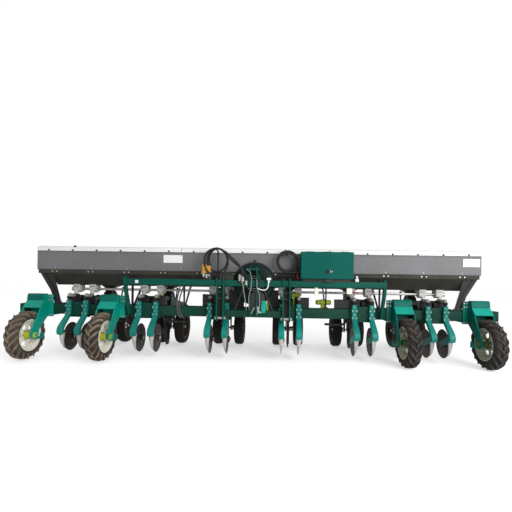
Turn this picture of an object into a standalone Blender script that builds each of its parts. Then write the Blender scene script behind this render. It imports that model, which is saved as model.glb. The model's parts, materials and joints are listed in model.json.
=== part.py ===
"""Six-row corn planter: toolbar, gauge wheels, twin fertiliser openers, long hopper and floating row units.

Metres, +Z up. +X is to the right for someone facing the hitch, +Y points away from the tractor.
Every outline below is measured from the middle of the toolbar; the parent empty then moves the whole
machine so that its box is centred on the origin. Run it with blender --background --python part.py
"""

import math

import bmesh
import bpy
from mathutils import Matrix, Vector

# Driving dimensions
ROW_COUNT = 6
ROW_SPACING = 0.70
SEAT_GAP = 0.0003  # between pieces that rest on or are clamped to each other
RUNNING_GAP = 0.0005  # between a pin and its bore, on the radius
SIDE_GAP = 0.0006  # between a turning piece and the face beside it

BEAM_SIDE = 0.10
BEAM_WALL = 0.010
BEAM_BOTTOM = 0.41
BEAM_OVERHANG = 0.205  # past the middle of the outer gauge wheel
WELD = 0.002  # how far a welded piece runs into its seat

WHEEL_RADIUS = 0.226
TYRE_WIDTH = 0.115
RIM_RADIUS = 0.136
WHEEL_AHEAD = 0.25  # axle ahead of the toolbar's middle
INNER_WHEEL_OUT = 0.02  # past the middle between its two rows
OUTER_WHEEL_OUT = 0.395  # past the outer row
AXLE_RADIUS = 0.0125
HUB_RADIUS = 0.036
HUB_HALF = 0.055

FORK_INSIDE = 0.160
FORK_PLATE = 0.010
FORK_TOP = 0.60
FORK_MOUNT_INBOARD = 0.14
CLAMP_PLATE = 0.012
STRAP_WIDTH = 0.026

OPENER_OFFSET = 0.083  # of each shank from its row
SHANK_WIDTH = 0.050
SHANK_DEPTH = 0.040
KNEE_CLEAR = 0.045  # knee ahead of the disc's edge
DISC_RADIUS = 0.140
DISC_AHEAD = 0.030
DISC_HEIGHT = 0.190
KNEE_HEIGHT = 0.265
DISC_HALF = 0.0025
SPINDLE_RADIUS = 0.008
DISC_HUB_RADIUS = 0.040
DISC_NUT = 0.028  # inner face of the spindle's nut, from the shank's middle
BRACKET_HALF = 0.118

ARM_LENGTH = 0.32
ARM_FRONT = 0.125
LOWER_PIVOT = 0.40
PIVOT_SPREAD = 0.16
PIN_RADIUS = 0.010
PIVOT_EDGE = 0.026  # from a pivot to the edge of the plate that holds it
ARM_PLATE = 0.012
CHEEK_INSIDE = 0.072
CHEEK_PLATE = 0.010

PRESS_RADIUS = 0.20
PRESS_WIDTH = 0.11
PRESS_OFFSET = 0.125
PRESS_BEHIND = 0.76
PRESS_AXLE = 0.011
LEG_HALF = 0.022
DECK_HEIGHT = 0.43
METER_RADIUS = 0.095
SEED_BOX = (0.26, 0.30, 0.25)
SEED_BOX_FRONT = 0.545
SEED_BOX_BOTTOM = 0.69

HOPPER_OVER = 0.17  # beam end past the hopper end
HOPPER_FRONT = -0.05
HOPPER_REAR = 0.50
HOPPER_TOP = 1.04
PANEL_BOTTOM = 0.855
TROUGH_BOTTOM = 0.70
TROUGH_FRONT = 0.06
TROUGH_REAR = 0.18
TROUGH_TAPER = 0.14
HOPPER_WALL = 0.004
HOPPER_SECTIONS = 3
LEDGE_HEIGHT = 0.040
LEDGE_PROUD = 0.010
LEG_INBOARD = 0.20  # of a hopper leg's foot from the gauge wheel beside it
METER_BOX = (0.070, 0.110, 0.080)
SHAFT_RADIUS = 0.012
SHAFT_BEHIND = 0.095
LID_RISE = 0.055
LID_WALL = 0.004
LID_GAP = 0.006
LID_OVERLAP = 0.010

RAIL_SIDE = 0.058
RAIL_AHEAD = 0.18
RAIL_BOTTOM = 0.717
HITCH_OFFSET = 0.31  # of each lower link from the middle
CLEVIS_GAP = 0.050
CLEVIS_PLATE = 0.012
CLEVIS_BOTTOM = 0.39
MAST_TOP = 0.90
HITCH_PIN = 0.011
CROSSBAR_HEIGHT = 0.06
FAN_RADIUS = 0.200
FAN_HEIGHT = 0.745
FAN_DEPTH = 0.078
FAN_BEHIND = 0.066  # rear face ahead of the toolbar's middle
FAN_INLET = 0.075
FAN_WALL = 0.004
FAN_SHAFT = 0.014

TOOLBOX_LEFT = 0.438
TOOLBOX_SIZE = (0.484, 0.165, 0.250)
TOOLBOX_FRONT = -0.245
SHEET = 0.003
SHELF = 0.026

CABLE_DIAMETER = 0.016
COIL_RADIUS = 0.093
COIL_CENTRE = (0.315, -0.128, 0.958)
COIL_ROWS = 3
COIL_LAYERS = 2
COIL_SLACK = 0.001
HOSE_DIAMETER = 0.016
VALVE_SPAN = (-0.475, -0.395)
VALVE_RISE = 0.075
HOSE_HOOK = -0.345
HOOK_HEIGHT = 1.052
HOOK_RADIUS = 0.007

ROUND = 16
SMALL_ROUND = 10

# Places that follow from the sizes above
BEAM_TOP = BEAM_BOTTOM + BEAM_SIDE
BEAM_HALF = BEAM_SIDE / 2
KNEE_AHEAD = DISC_AHEAD + DISC_RADIUS + KNEE_CLEAR
ROWS = [(i - (ROW_COUNT - 1) / 2) * ROW_SPACING for i in range(ROW_COUNT)]
INNER_WHEEL = ROW_SPACING * (ROW_COUNT / 2 - 1) + INNER_WHEEL_OUT
OUTER_WHEEL = ROWS[-1] + OUTER_WHEEL_OUT
WHEELS = [-OUTER_WHEEL, -INNER_WHEEL, INNER_WHEEL, OUTER_WHEEL]
BEAM_END = OUTER_WHEEL + BEAM_OVERHANG
HOPPER_END = BEAM_END - HOPPER_OVER
UPPER_PIVOT = LOWER_PIVOT + PIVOT_SPREAD
ARM_OUTER = CHEEK_INSIDE - SIDE_GAP
ARM_REAR = ARM_FRONT + ARM_LENGTH
RAIL_TOP = RAIL_BOTTOM + RAIL_SIDE
VALVE_TOP = RAIL_TOP + VALVE_RISE
REACH_FRONT = WHEEL_AHEAD + WHEEL_RADIUS
REACH_REAR = PRESS_BEHIND + PRESS_RADIUS
BEAM_Y = (REACH_FRONT - REACH_REAR) / 2

for old in list(bpy.data.objects):
    bpy.data.objects.remove(old)

planter = bpy.data.objects.new("planter", None)
planter.location = (0, BEAM_Y, 0)
bpy.context.scene.collection.objects.link(planter)


def material(name, colour, roughness, metallic=0.0):
    """A plain Principled finish."""
    made = bpy.data.materials.new(name)
    made.use_nodes = True
    shader = made.node_tree.nodes["Principled BSDF"]
    shader.inputs["Base Color"].default_value = (*colour, 1)
    shader.inputs["Roughness"].default_value = roughness
    shader.inputs["Metallic"].default_value = metallic
    return made


GREEN = material("green_paint", (0.0, 0.25, 0.17), 0.4)
GREY = material("grey_sheet", (0.13, 0.135, 0.14), 0.5)
WHITE = material("white_lid", (0.8, 0.8, 0.8), 0.5)
BLACK = material("black_plastic", (0.02, 0.02, 0.022), 0.6)
RUBBER = material("tyre_rubber", (0.04, 0.037, 0.035), 0.85)
STEEL = material("bare_steel", (0.4, 0.4, 0.4), 0.4, 1.0)
DISC_STEEL = material("disc_steel", (0.05, 0.045, 0.04), 0.55, 0.6)
HOSE = material("hose_rubber", (0.02, 0.02, 0.02), 0.6)


# Solids. Each helper returns a temporary object that joined() takes up.

def solid(bm):
    """A temporary object from a closed bmesh, with its faces turned outwards."""
    bmesh.ops.recalc_face_normals(bm, faces=bm.faces)
    mesh = bpy.data.meshes.new("solid")
    bm.to_mesh(mesh)
    bm.free()
    made = bpy.data.objects.new("solid", mesh)
    bpy.context.scene.collection.objects.link(made)
    return made


def rings_solid(rings, loop=False):
    """A closed solid through rings of equal point counts: capped at both ends, or joined end to start."""
    bm = bmesh.new()
    made = [[bm.verts.new(point) for point in ring] for ring in rings]
    pairs = list(zip(made, made[1:]))
    if loop:
        pairs.append((made[-1], made[0]))
    else:
        bm.faces.new(made[0])
        bm.faces.new(list(reversed(made[-1])))
    for first, second in pairs:
        count = len(first)
        for i in range(count):
            j = (i + 1) % count
            bm.faces.new((first[i], first[j], second[j], second[i]))
    return solid(bm)


def block(x, y, z):
    """A box from its (low, high) ranges."""
    ring = [(x[0], y[0]), (x[1], y[0]), (x[1], y[1]), (x[0], y[1])]
    return rings_solid([[(*point, level) for point in ring] for level in z])


def plate(outline, x):
    """A flat plate across X, from a (y, z) outline."""
    return rings_solid([[(side, *point) for point in outline] for side in x])


def rod(start, end, radius, sides=SMALL_ROUND):
    """A round bar between two points."""
    start, end = Vector(start), Vector(end)
    turn = (end - start).to_track_quat("Z", "Y").to_matrix()
    circle = [
        turn @ Vector((radius * math.cos(a), radius * math.sin(a), 0))
        for a in (2 * math.pi * i / sides for i in range(sides))
    ]
    return rings_solid([[start + point for point in circle], [end + point for point in circle]])


def turned(profile, centre, axis="X", sides=ROUND):
    """A ring turned about X or Y through centre, from a closed (along, radius) profile."""
    rings = []
    for i in range(sides):
        angle = 2 * math.pi * i / sides
        ring = []
        for along, radius in profile:
            across, up = radius * math.sin(angle), -radius * math.cos(angle)
            offset = (along, across, up) if axis == "X" else (across, along, up)
            ring.append(Vector(centre) + Vector(offset))
        rings.append(ring)
    return rings_solid(rings, loop=True)


def bore(start, end, shaft, sides=SMALL_ROUND):
    """A cutter for a hole that a round shaft turns in, its flats facing the shaft's corners."""
    start, end = Vector(start), Vector(end)
    cutter = rod(start, end, (shaft + RUNNING_GAP) / math.cos(math.pi / sides), sides)
    axis = Matrix.Rotation(math.pi / sides, 4, end - start)
    cutter.data.transform(Matrix.Translation(start) @ axis @ Matrix.Translation(-start))
    return cutter


def funnel(levels):
    """A rectangular solid through (z, x range, y range) levels."""
    return rings_solid(
        [[(x[0], y[0], z), (x[1], y[0], z), (x[1], y[1], z), (x[0], y[1], z)] for z, x, y in levels]
    )


def bent_bar(path, width, depths):
    """A bar of rectangular section along a (y, z) path, across X from -width/2 to width/2."""
    rings = []
    for i, (y, z) in enumerate(path):
        before, after = path[max(i - 1, 0)], path[min(i + 1, len(path) - 1)]
        along = Vector((after[0] - before[0], after[1] - before[1])).normalized()
        side = Vector((-along.y, along.x)) * depths[i] / 2
        rings.append(
            [
                (-width / 2, y - side.x, z - side.y),
                (width / 2, y - side.x, z - side.y),
                (width / 2, y + side.x, z + side.y),
                (-width / 2, y + side.x, z + side.y),
            ]
        )
    return rings_solid(rings)


def spindle(profile, height, sides):
    """A solid turned about Y at this height, from an (along, radius) line with both ends on the axis."""
    bm = bmesh.new()
    rings = []
    for along, radius in profile:
        if radius == 0:
            rings.append([bm.verts.new((0, along, height))])
            continue
        ring = []
        for i in range(sides):
            angle = 2 * math.pi * i / sides
            ring.append(bm.verts.new((radius * math.sin(angle), along, height - radius * math.cos(angle))))
        rings.append(ring)
    for first, second in zip(rings, rings[1:]):
        for i in range(sides):
            j = (i + 1) % sides
            near = (first[i % len(first)], first[j % len(first)])
            far = (second[j % len(second)], second[i % len(second)])
            bm.faces.new(dict.fromkeys(near + far))
    return solid(bm)


def moved(piece, offset):
    """A copy of a temporary solid, shifted."""
    mesh = piece.data.copy()
    mesh.transform(Matrix.Translation(offset))
    made = bpy.data.objects.new("solid", mesh)
    bpy.context.scene.collection.objects.link(made)
    return made


def joined(parts, cutters=()):
    """The mesh of the parts joined into one solid, less the cutters. It uses them up."""
    base = parts[0]
    for operation, tools in (("UNION", parts[1:]), ("DIFFERENCE", cutters)):
        for tool in tools:
            step = base.modifiers.new(operation.lower(), "BOOLEAN")
            step.operation = operation
            step.object = tool
    graph = bpy.context.evaluated_depsgraph_get()
    mesh = bpy.data.meshes.new_from_object(base.evaluated_get(graph), depsgraph=graph)
    for tool in (*parts, *cutters):
        bpy.data.objects.remove(tool)
    return mesh


def place(name, mesh, finish, at=(0, 0, 0), pivot=(0, 0, 0)):
    """A finished piece: its mesh, moved by at, with its own origin on pivot."""
    if mesh.users == 0:
        mesh.transform(Matrix.Translation(-Vector(pivot)))
        mesh.materials.clear()
        mesh.materials.append(finish)
        mesh.shade_smooth()
        mesh.set_sharp_from_angle(angle=math.radians(35))
    made = bpy.data.objects.new(name, mesh)
    made.location = Vector(at) + Vector(pivot)
    made.parent = planter
    bpy.context.scene.collection.objects.link(made)
    return made


# Toolbar

def toolbar():
    """The square tube, and the cutter that hollows it."""
    inside = BEAM_HALF - BEAM_WALL
    middle = BEAM_BOTTOM + BEAM_HALF
    tube = block((-BEAM_END, BEAM_END), (-BEAM_HALF, BEAM_HALF), (BEAM_BOTTOM, BEAM_TOP))
    past = BEAM_END + BEAM_SIDE
    hollow = block((-past, past), (-inside, inside), (middle - inside, middle + inside))
    return tube, hollow


def clamp_straps(positions, reach):
    """Flat straps round the toolbar that hold a front clamp plate, at these places along X."""
    near = BEAM_HALF + SEAT_GAP
    far = near + CLAMP_PLATE
    low, high = BEAM_BOTTOM - SEAT_GAP, BEAM_TOP + SEAT_GAP
    parts = []
    for x in positions:
        across = (x - STRAP_WIDTH / 2, x + STRAP_WIDTH / 2)
        parts += [
            block(across, (-reach, far), (high, high + CLAMP_PLATE)),
            block(across, (-reach, far), (low - CLAMP_PLATE, low)),
            block(across, (near, far), (low - CLAMP_PLATE / 2, high + CLAMP_PLATE / 2)),
        ]
    return parts


# Gauge wheels

def wheel_fork(inboard):
    """Fork, stepped guard, axle and clamp of one gauge wheel; inboard is the sign of its mount's side."""
    inner = FORK_INSIDE / 2
    outer = inner + FORK_PLATE
    near = BEAM_HALF + SEAT_GAP
    far = near + CLAMP_PLATE
    axle_y, axle_z = -WHEEL_AHEAD, WHEEL_RADIUS
    clear = WHEEL_RADIUS + 0.024
    front = (axle_y + 0.080, axle_z + clear)
    side = [
        (-far + 0.004, FORK_TOP),
        (-far + 0.004, BEAM_BOTTOM - 0.015),
        (axle_y + 0.070, axle_z + 0.060),
        (axle_y + 0.048, axle_z - 0.012),
        (axle_y + 0.010, axle_z - 0.046),
        (axle_y - 0.042, axle_z - 0.020),
        (axle_y - 0.046, axle_z + 0.040),
        front,
        (-far - 0.045, FORK_TOP - 0.062),
        (-far - 0.040, FORK_TOP),
    ]
    guard = [
        (-far + 0.002, FORK_TOP + 0.012),
        (-far - 0.034, FORK_TOP + 0.012),
        (-far - 0.050, FORK_TOP - 0.004),
        (-far - 0.056, FORK_TOP - 0.056),
        (front[0] - 0.006, front[1] + 0.004),
        (front[0], front[1] - 0.002),
        (-far - 0.048, FORK_TOP - 0.064),
        (-far - 0.042, FORK_TOP - 0.008),
        (-far - 0.030, FORK_TOP + 0.004),
        (-far + 0.002, FORK_TOP + 0.004),
    ]
    mount = sorted((inboard * FORK_MOUNT_INBOARD, -inboard * outer))
    parts = [
        block(mount, (-far, -near), (BEAM_BOTTOM - 0.025, FORK_TOP + 0.004)),
        plate(side, (-outer, -inner)),
        plate(side, (inner, outer)),
        plate(guard, (-inner - 0.005, inner + 0.005)),
        rod((-outer - 0.014, axle_y, axle_z), (outer + 0.014, axle_y, axle_z), AXLE_RADIUS, 12),
    ]
    half = STRAP_WIDTH / 2 + 0.003
    straps = (inboard * (FORK_MOUNT_INBOARD - half), -inboard * (outer - half))
    return joined(parts + clamp_straps(straps, far))


def gauge_wheel():
    """Tyre on its steel rim and hub, bored for the fork's axle."""
    half = TYRE_WIDTH / 2
    sides = 20
    hole = (AXLE_RADIUS + RUNNING_GAP) / math.cos(math.pi / sides)
    left = [
        (-HUB_HALF, hole),
        (-HUB_HALF, HUB_RADIUS),
        (-0.014, HUB_RADIUS),
        (-0.014, RIM_RADIUS - 0.024),
        (-half + 0.010, RIM_RADIUS - 0.012),
        (-half, (RIM_RADIUS + WHEEL_RADIUS) / 2),
        (-half + 0.018, WHEEL_RADIUS - 0.004),
        (-half + 0.036, WHEEL_RADIUS),
    ]
    right = [(-x, r) for x, r in reversed(left)]
    axle = (0, -WHEEL_AHEAD, WHEEL_RADIUS)
    return joined([turned(left + right, axle, sides=sides)])


# Fertiliser openers and row brackets

def shin(knee_y, knee_z):
    """The tapering steel point below the knee, just ahead of the disc's edge."""
    clear = DISC_RADIUS + 0.007
    rings = []
    sections = ((0.022, 0.023, 0.034), (0.070, 0.018, 0.026), (0.125, 0.012, 0.016), (0.175, 0.005, 0.008))
    for drop, half, depth in sections:
        z = knee_z - drop
        reach = math.sqrt(max(clear**2 - (z - DISC_HEIGHT) ** 2, 0))
        rear = -DISC_AHEAD - reach
        rings.append([(-half, rear, z), (half, rear, z), (half, rear - depth, z), (-half, rear - depth, z)])
    return rings_solid(rings)


def shank_parts(x):
    """One curved shank, its disc arm, spindle, steel point and funnel, at x from the row."""
    hub_y, hub_z = -DISC_AHEAD, DISC_HEIGHT
    top_y = -(BEAM_HALF + SEAT_GAP + CLAMP_PLATE + SHANK_DEPTH / 2 - 0.004)
    knee_y = -KNEE_AHEAD
    knee_z = KNEE_HEIGHT
    path = [
        (top_y, BEAM_TOP + 0.040),
        (top_y, BEAM_BOTTOM + 0.035),
        (top_y - 0.015, BEAM_BOTTOM),
        (knee_y + 0.014, knee_z + 0.045),
        (knee_y - 0.002, knee_z),
        (knee_y + 0.014, knee_z - 0.030),
    ]
    depths = [SHANK_DEPTH, SHANK_DEPTH, SHANK_DEPTH, SHANK_DEPTH, 0.046, 0.040]
    limb = bent_bar(path, SHANK_WIDTH, depths)
    arm = [
        (knee_y - 0.010, knee_z + 0.010),
        (knee_y + 0.004, knee_z - 0.030),
        (hub_y - 0.020, hub_z - 0.026),
        (hub_y + 0.016, hub_z - 0.018),
        (hub_y + 0.020, hub_z + 0.014),
        (hub_y - 0.010, hub_z + 0.026),
        (knee_y + 0.050, knee_z + 0.016),
    ]
    arm_inside = DISC_HALF + 0.0075
    arm_outside = SHANK_WIDTH / 2
    nut = DISC_NUT + 0.007
    pieces = [
        limb,
        plate(arm, (-arm_outside, -arm_inside)),
        shin(knee_y, knee_z),
        rod((-arm_outside + 0.004, hub_y, hub_z), (nut, hub_y, hub_z), SPINDLE_RADIUS, 8),
        rod((DISC_NUT, hub_y, hub_z), (nut, hub_y, hub_z), 0.015, 6),
        rod((0, top_y, BEAM_TOP + 0.034), (0, top_y, BEAM_TOP + 0.070), 0.023, 8),
    ]
    shifted = [moved(piece, (x, 0, 0)) for piece in pieces]
    for piece in pieces:
        bpy.data.objects.remove(piece)
    return shifted


def opener_bracket():
    """Two shanks on one clamp plate, bolted through to the row unit's head and its pivot pins."""
    near = BEAM_HALF + SEAT_GAP
    far = near + CLAMP_PLATE
    low = (BEAM_BOTTOM - 0.016, BEAM_BOTTOM - SEAT_GAP)
    high = (BEAM_TOP + SEAT_GAP, BEAM_TOP + 0.016)
    plates = (BEAM_BOTTOM - 0.026, BEAM_TOP + 0.026)
    parts = [
        block((-BRACKET_HALF, BRACKET_HALF), (-far, -near), plates),
        block((-CHEEK_INSIDE - 0.02, CHEEK_INSIDE + 0.02), (near, far), (plates[0], FORK_TOP)),
    ]
    for x in (-OPENER_OFFSET / 2, OPENER_OFFSET / 2):
        across = (x - STRAP_WIDTH / 2, x + STRAP_WIDTH / 2)
        for z in (low, high):
            parts.append(block(across, (-far + 0.002, far - 0.002), z))
    pin_end = CHEEK_INSIDE + CHEEK_PLATE / 2
    cheek = [
        (far - 0.004, LOWER_PIVOT - 0.005),
        (ARM_FRONT, LOWER_PIVOT - PIVOT_EDGE),
        (ARM_FRONT + PIVOT_EDGE, LOWER_PIVOT),
        (ARM_FRONT + PIVOT_EDGE, UPPER_PIVOT),
        (ARM_FRONT, UPPER_PIVOT + PIVOT_EDGE),
        (far - 0.004, UPPER_PIVOT + 0.015),
    ]
    for x in (-CHEEK_INSIDE - CHEEK_PLATE, CHEEK_INSIDE):
        parts.append(plate(cheek, (x, x + CHEEK_PLATE)))
    for z in (LOWER_PIVOT, UPPER_PIVOT):
        parts.append(rod((-pin_end, ARM_FRONT, z), (pin_end, ARM_FRONT, z), PIN_RADIUS, 8))
    for x in (-OPENER_OFFSET, OPENER_OFFSET):
        parts += shank_parts(x)
    return joined(parts)


def opener_disc():
    """A plain coulter disc with its bearing hub, bored for the spindle."""
    sides = 16
    hole = (SPINDLE_RADIUS + RUNNING_GAP) / math.cos(math.pi / sides)
    hub_out = DISC_NUT - SIDE_GAP
    profile = [
        (-DISC_HALF, hole),
        (-DISC_HALF, DISC_RADIUS - 0.02),
        (0, DISC_RADIUS),
        (DISC_HALF, DISC_RADIUS - 0.02),
        (DISC_HALF, DISC_HUB_RADIUS),
        (hub_out, DISC_HUB_RADIUS - 0.008),
        (hub_out, hole),
    ]
    return joined([turned(profile, (0, -DISC_AHEAD, DISC_HEIGHT), sides=sides)])


# Floating row units

def link_arm(height):
    """One of the two parallel arms: side bars between two bored cross tubes."""
    boss = 0.020
    parts = []
    for y in (ARM_FRONT, ARM_REAR):
        parts.append(rod((-ARM_OUTER, y, height), (ARM_OUTER, y, height), boss, 8))
    for x in (-ARM_OUTER, ARM_OUTER - ARM_PLATE):
        parts.append(block((x, x + ARM_PLATE), (ARM_FRONT, ARM_REAR), (height - 0.018, height + 0.018)))
    past = ARM_OUTER + 0.02
    cutters = [bore((-past, y, height), (past, y, height), PIN_RADIUS, 8) for y in (ARM_FRONT, ARM_REAR)]
    return joined(parts, cutters)


def row_unit():
    """Cheeks, deck, seed meter, seed box, knife opener and wheel leg of one row unit."""
    cheek_out = CHEEK_INSIDE + CHEEK_PLATE
    deck_across = (-cheek_out + 0.002, cheek_out - 0.002)
    deck_rear = PRESS_BEHIND + 0.17
    deck_top = DECK_HEIGHT + 0.020
    side = [
        (ARM_REAR - PIVOT_EDGE, LOWER_PIVOT),
        (ARM_REAR, LOWER_PIVOT - PIVOT_EDGE),
        (ARM_REAR + 0.05, LOWER_PIVOT - PIVOT_EDGE),
        (ARM_REAR + 0.08, DECK_HEIGHT),
        (deck_rear, DECK_HEIGHT),
        (deck_rear, DECK_HEIGHT + 0.060),
        (ARM_REAR + 0.16, UPPER_PIVOT),
        (ARM_REAR + 0.02, UPPER_PIVOT + PIVOT_EDGE),
        (ARM_REAR - 0.020, UPPER_PIVOT + 0.010),
    ]
    knife = [
        (ARM_REAR + 0.055, DECK_HEIGHT + 0.01),
        (ARM_REAR + 0.165, DECK_HEIGHT + 0.01),
        (ARM_REAR + 0.175, 0.030),
        (ARM_REAR + 0.120, 0.012),
        (ARM_REAR + 0.070, 0.050),
        (ARM_REAR + 0.050, 0.160),
    ]
    leg = [
        (PRESS_BEHIND - 0.060, DECK_HEIGHT + 0.01),
        (PRESS_BEHIND + 0.060, DECK_HEIGHT + 0.01),
        (PRESS_BEHIND + 0.035, PRESS_RADIUS - 0.030),
        (PRESS_BEHIND - 0.035, PRESS_RADIUS - 0.030),
    ]
    meter_y = ARM_REAR + 0.165
    meter_z = deck_top + METER_RADIUS - 0.006
    width, depth, height = SEED_BOX
    box_rear = SEED_BOX_FRONT + depth
    neck = (meter_y - 0.045, meter_y + 0.045)
    axle = (PRESS_BEHIND, PRESS_RADIUS)
    past = LEG_HALF + 0.02
    pin_end = CHEEK_INSIDE + CHEEK_PLATE / 2
    parts = [
        block(deck_across, (ARM_REAR + 0.075, deck_rear - 0.002), (DECK_HEIGHT + 0.002, deck_top)),
        plate(side, (-cheek_out, -CHEEK_INSIDE)),
        plate(side, (CHEEK_INSIDE, cheek_out)),
        plate(knife, (-0.014, 0.014)),
        plate(leg, (-LEG_HALF, LEG_HALF)),
        rod((-0.046, meter_y, meter_z), (0.046, meter_y, meter_z), METER_RADIUS, ROUND),
        funnel(
            [
                (meter_z + METER_RADIUS * 0.6, (-0.040, 0.040), neck),
                (SEED_BOX_BOTTOM - 0.035, (-0.040, 0.040), neck),
                (SEED_BOX_BOTTOM + 0.02, (-width / 2, width / 2), (SEED_BOX_FRONT, box_rear)),
                (SEED_BOX_BOTTOM + height, (-width / 2, width / 2), (SEED_BOX_FRONT, box_rear)),
            ]
        ),
    ]
    for z in (LOWER_PIVOT, UPPER_PIVOT):
        parts.append(rod((-pin_end, ARM_REAR, z), (pin_end, ARM_REAR, z), PIN_RADIUS, 8))
    return joined(parts, [bore((-past, *axle), (past, *axle), PRESS_AXLE)])


def press_wheels():
    """The pair of rubber press wheels on their common axle, which also carry the row unit."""
    inside = PRESS_OFFSET - PRESS_WIDTH / 2
    outside = PRESS_OFFSET + PRESS_WIDTH / 2
    shoulder = LEG_HALF + SIDE_GAP
    right = [
        (shoulder, PRESS_AXLE),
        (shoulder, 0.036),
        (inside, 0.036),
        (inside, PRESS_RADIUS - 0.020),
        (inside + 0.028, PRESS_RADIUS),
        (outside - 0.028, PRESS_RADIUS),
        (outside, PRESS_RADIUS - 0.020),
    ]
    left = [(-x, r) for x, r in reversed(right)]
    rings = []
    for i in range(ROUND):
        angle = 2 * math.pi * i / ROUND
        ring = []
        for x, r in left + right:
            ring.append((x, PRESS_BEHIND + r * math.sin(angle), PRESS_RADIUS - r * math.cos(angle)))
        rings.append(ring)
    bm = bmesh.new()
    made = [[bm.verts.new(point) for point in ring] for ring in rings]
    for first, second in zip(made, made[1:] + made[:1]):
        for i in range(len(first) - 1):
            bm.faces.new((first[i], first[i + 1], second[i + 1], second[i]))
    bm.faces.new([ring[0] for ring in made])
    bm.faces.new([ring[-1] for ring in made])
    return joined([solid(bm)])


# Hopper, metering shaft and lids

def outlets():
    """The X of every fertiliser outlet: one above each shank."""
    return [row + side * OPENER_OFFSET for row in ROWS for side in (-1, 1)]


def section_spans(inset):
    """(low, high) X of each hopper section, drawn in by inset at both ends."""
    length = 2 * HOPPER_END / HOPPER_SECTIONS
    starts = [-HOPPER_END + i * length for i in range(HOPPER_SECTIONS)]
    return [(start + inset, start + length - inset) for start in starts]


def hopper():
    """The long trough with its dividers, ledge, metering boxes and legs, open at the top."""
    ends = (-HOPPER_END, HOPPER_END)
    foot = (-HOPPER_END + TROUGH_TAPER, HOPPER_END - TROUGH_TAPER)
    rim = (-HOPPER_END + 0.02, HOPPER_END - 0.02)
    across = (HOPPER_FRONT, HOPPER_REAR)
    bottom = (TROUGH_FRONT, TROUGH_REAR)
    ledge = PANEL_BOTTOM - LEDGE_HEIGHT
    seat = BEAM_TOP + SEAT_GAP
    parts = [
        funnel(
            [
                (TROUGH_BOTTOM, foot, bottom),
                (ledge, foot, across),
                (PANEL_BOTTOM, ends, across),
                (HOPPER_TOP, ends, across),
            ]
        ),
        block(rim, (HOPPER_FRONT - LEDGE_PROUD, HOPPER_FRONT + 0.06), (ledge, PANEL_BOTTOM)),
        block(rim, (HOPPER_REAR - 0.06, HOPPER_REAR + LEDGE_PROUD), (ledge, PANEL_BOTTOM)),
    ]
    width, depth, height = METER_BOX
    mid = (TROUGH_FRONT + TROUGH_REAR) / 2 - 0.025
    for x in outlets():
        parts.append(
            block(
                (x - width / 2, x + width / 2),
                (mid - depth / 2, mid + depth / 2),
                (TROUGH_BOTTOM + 0.006 - height, TROUGH_BOTTOM + 0.006),
            )
        )
        spout = (x, mid - depth / 2 + 0.012, TROUGH_BOTTOM - height + 0.020)
        parts.append(rod(spout, (x, spout[1] - 0.030, spout[2] - 0.045), 0.020, 8))
    pad = BEAM_HALF - 0.005
    foot_z, top_z = seat + 0.003, ledge + 0.01
    for side in (-1, 1):
        top, low = side * (HOPPER_END - 0.05), side * (OUTER_WHEEL - LEG_INBOARD)
        half = side * 0.022
        brace = ((low - half, foot_z), (low + half, foot_z), (top + half, top_z), (top - half, top_z))
        parts.append(rings_solid([[(x, level, z) for x, z in brace] for level in (-pad, -pad + 0.012)]))
        parts.append(block(sorted((low - 2 * half, low + 2 * half)), (-pad, pad), (seat, seat + 0.014)))
    strut_rear = HOPPER_REAR - 0.10
    supports = [0.0] + [side * x for side in (-1, 1) for x in (ROW_SPACING, INNER_WHEEL - LEG_INBOARD)]
    for x in supports:
        span = (x - 0.006, x + 0.006)
        parts += [
            block((x - 0.02, x + 0.02), (-pad, pad), (seat, seat + 0.014)),
            plate([(-pad, foot_z), (-0.008, foot_z), (-0.012, top_z), (HOPPER_FRONT, top_z)], span),
            plate([(0.008, foot_z), (pad, foot_z), (strut_rear, top_z), (strut_rear - 0.07, top_z)], span),
        ]
    coil_inside = COIL_RADIUS - COIL_LAYERS * CABLE_DIAMETER / 2 - COIL_SLACK
    hook_z = COIL_CENTRE[2] + coil_inside - SEAT_GAP - HOOK_RADIUS
    hook = (COIL_CENTRE[0], HOPPER_FRONT + HOPPER_WALL / 2, hook_z)
    tip_y = COIL_CENTRE[1] - COIL_ROWS * CABLE_DIAMETER / 2 - 0.014
    parts.append(rod(hook, (hook[0], tip_y, hook_z), HOOK_RADIUS, 8))
    inner_across = (HOPPER_FRONT + HOPPER_WALL, HOPPER_REAR - HOPPER_WALL)
    inner_bottom = (TROUGH_FRONT + HOPPER_WALL, TROUGH_REAR - HOPPER_WALL)
    cutters = []
    for low, high in section_spans(HOPPER_WALL):
        floor = (max(low, foot[0] + HOPPER_WALL), min(high, foot[1] - HOPPER_WALL))
        cutters.append(
            funnel(
                [
                    (TROUGH_BOTTOM + HOPPER_WALL + 0.006, floor, inner_bottom),
                    (ledge + HOPPER_WALL, floor, inner_across),
                    (PANEL_BOTTOM + HOPPER_WALL, (low, high), inner_across),
                    (HOPPER_TOP + 0.02, (low, high), inner_across),
                ]
            )
        )
    past = HOPPER_END + 0.1
    shaft_z = TROUGH_BOTTOM - METER_BOX[2] / 2
    cutters.append(bore((-past, SHAFT_BEHIND, shaft_z), (past, SHAFT_BEHIND, shaft_z), SHAFT_RADIUS))
    return joined(parts, cutters)


def metering_shaft():
    """The shaft that turns all fertiliser meters, with a collar at each end."""
    end = outlets()[-1] + METER_BOX[0] / 2 + 0.035
    z = TROUGH_BOTTOM - METER_BOX[2] / 2
    parts = [rod((-end, SHAFT_BEHIND, z), (end, SHAFT_BEHIND, z), SHAFT_RADIUS)]
    for side in (-1, 1):
        collar = side * (end - 0.030)
        parts.append(rod((collar, SHAFT_BEHIND, z), (side * (end - 0.004), SHAFT_BEHIND, z), 0.024))
    return joined(parts)


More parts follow.
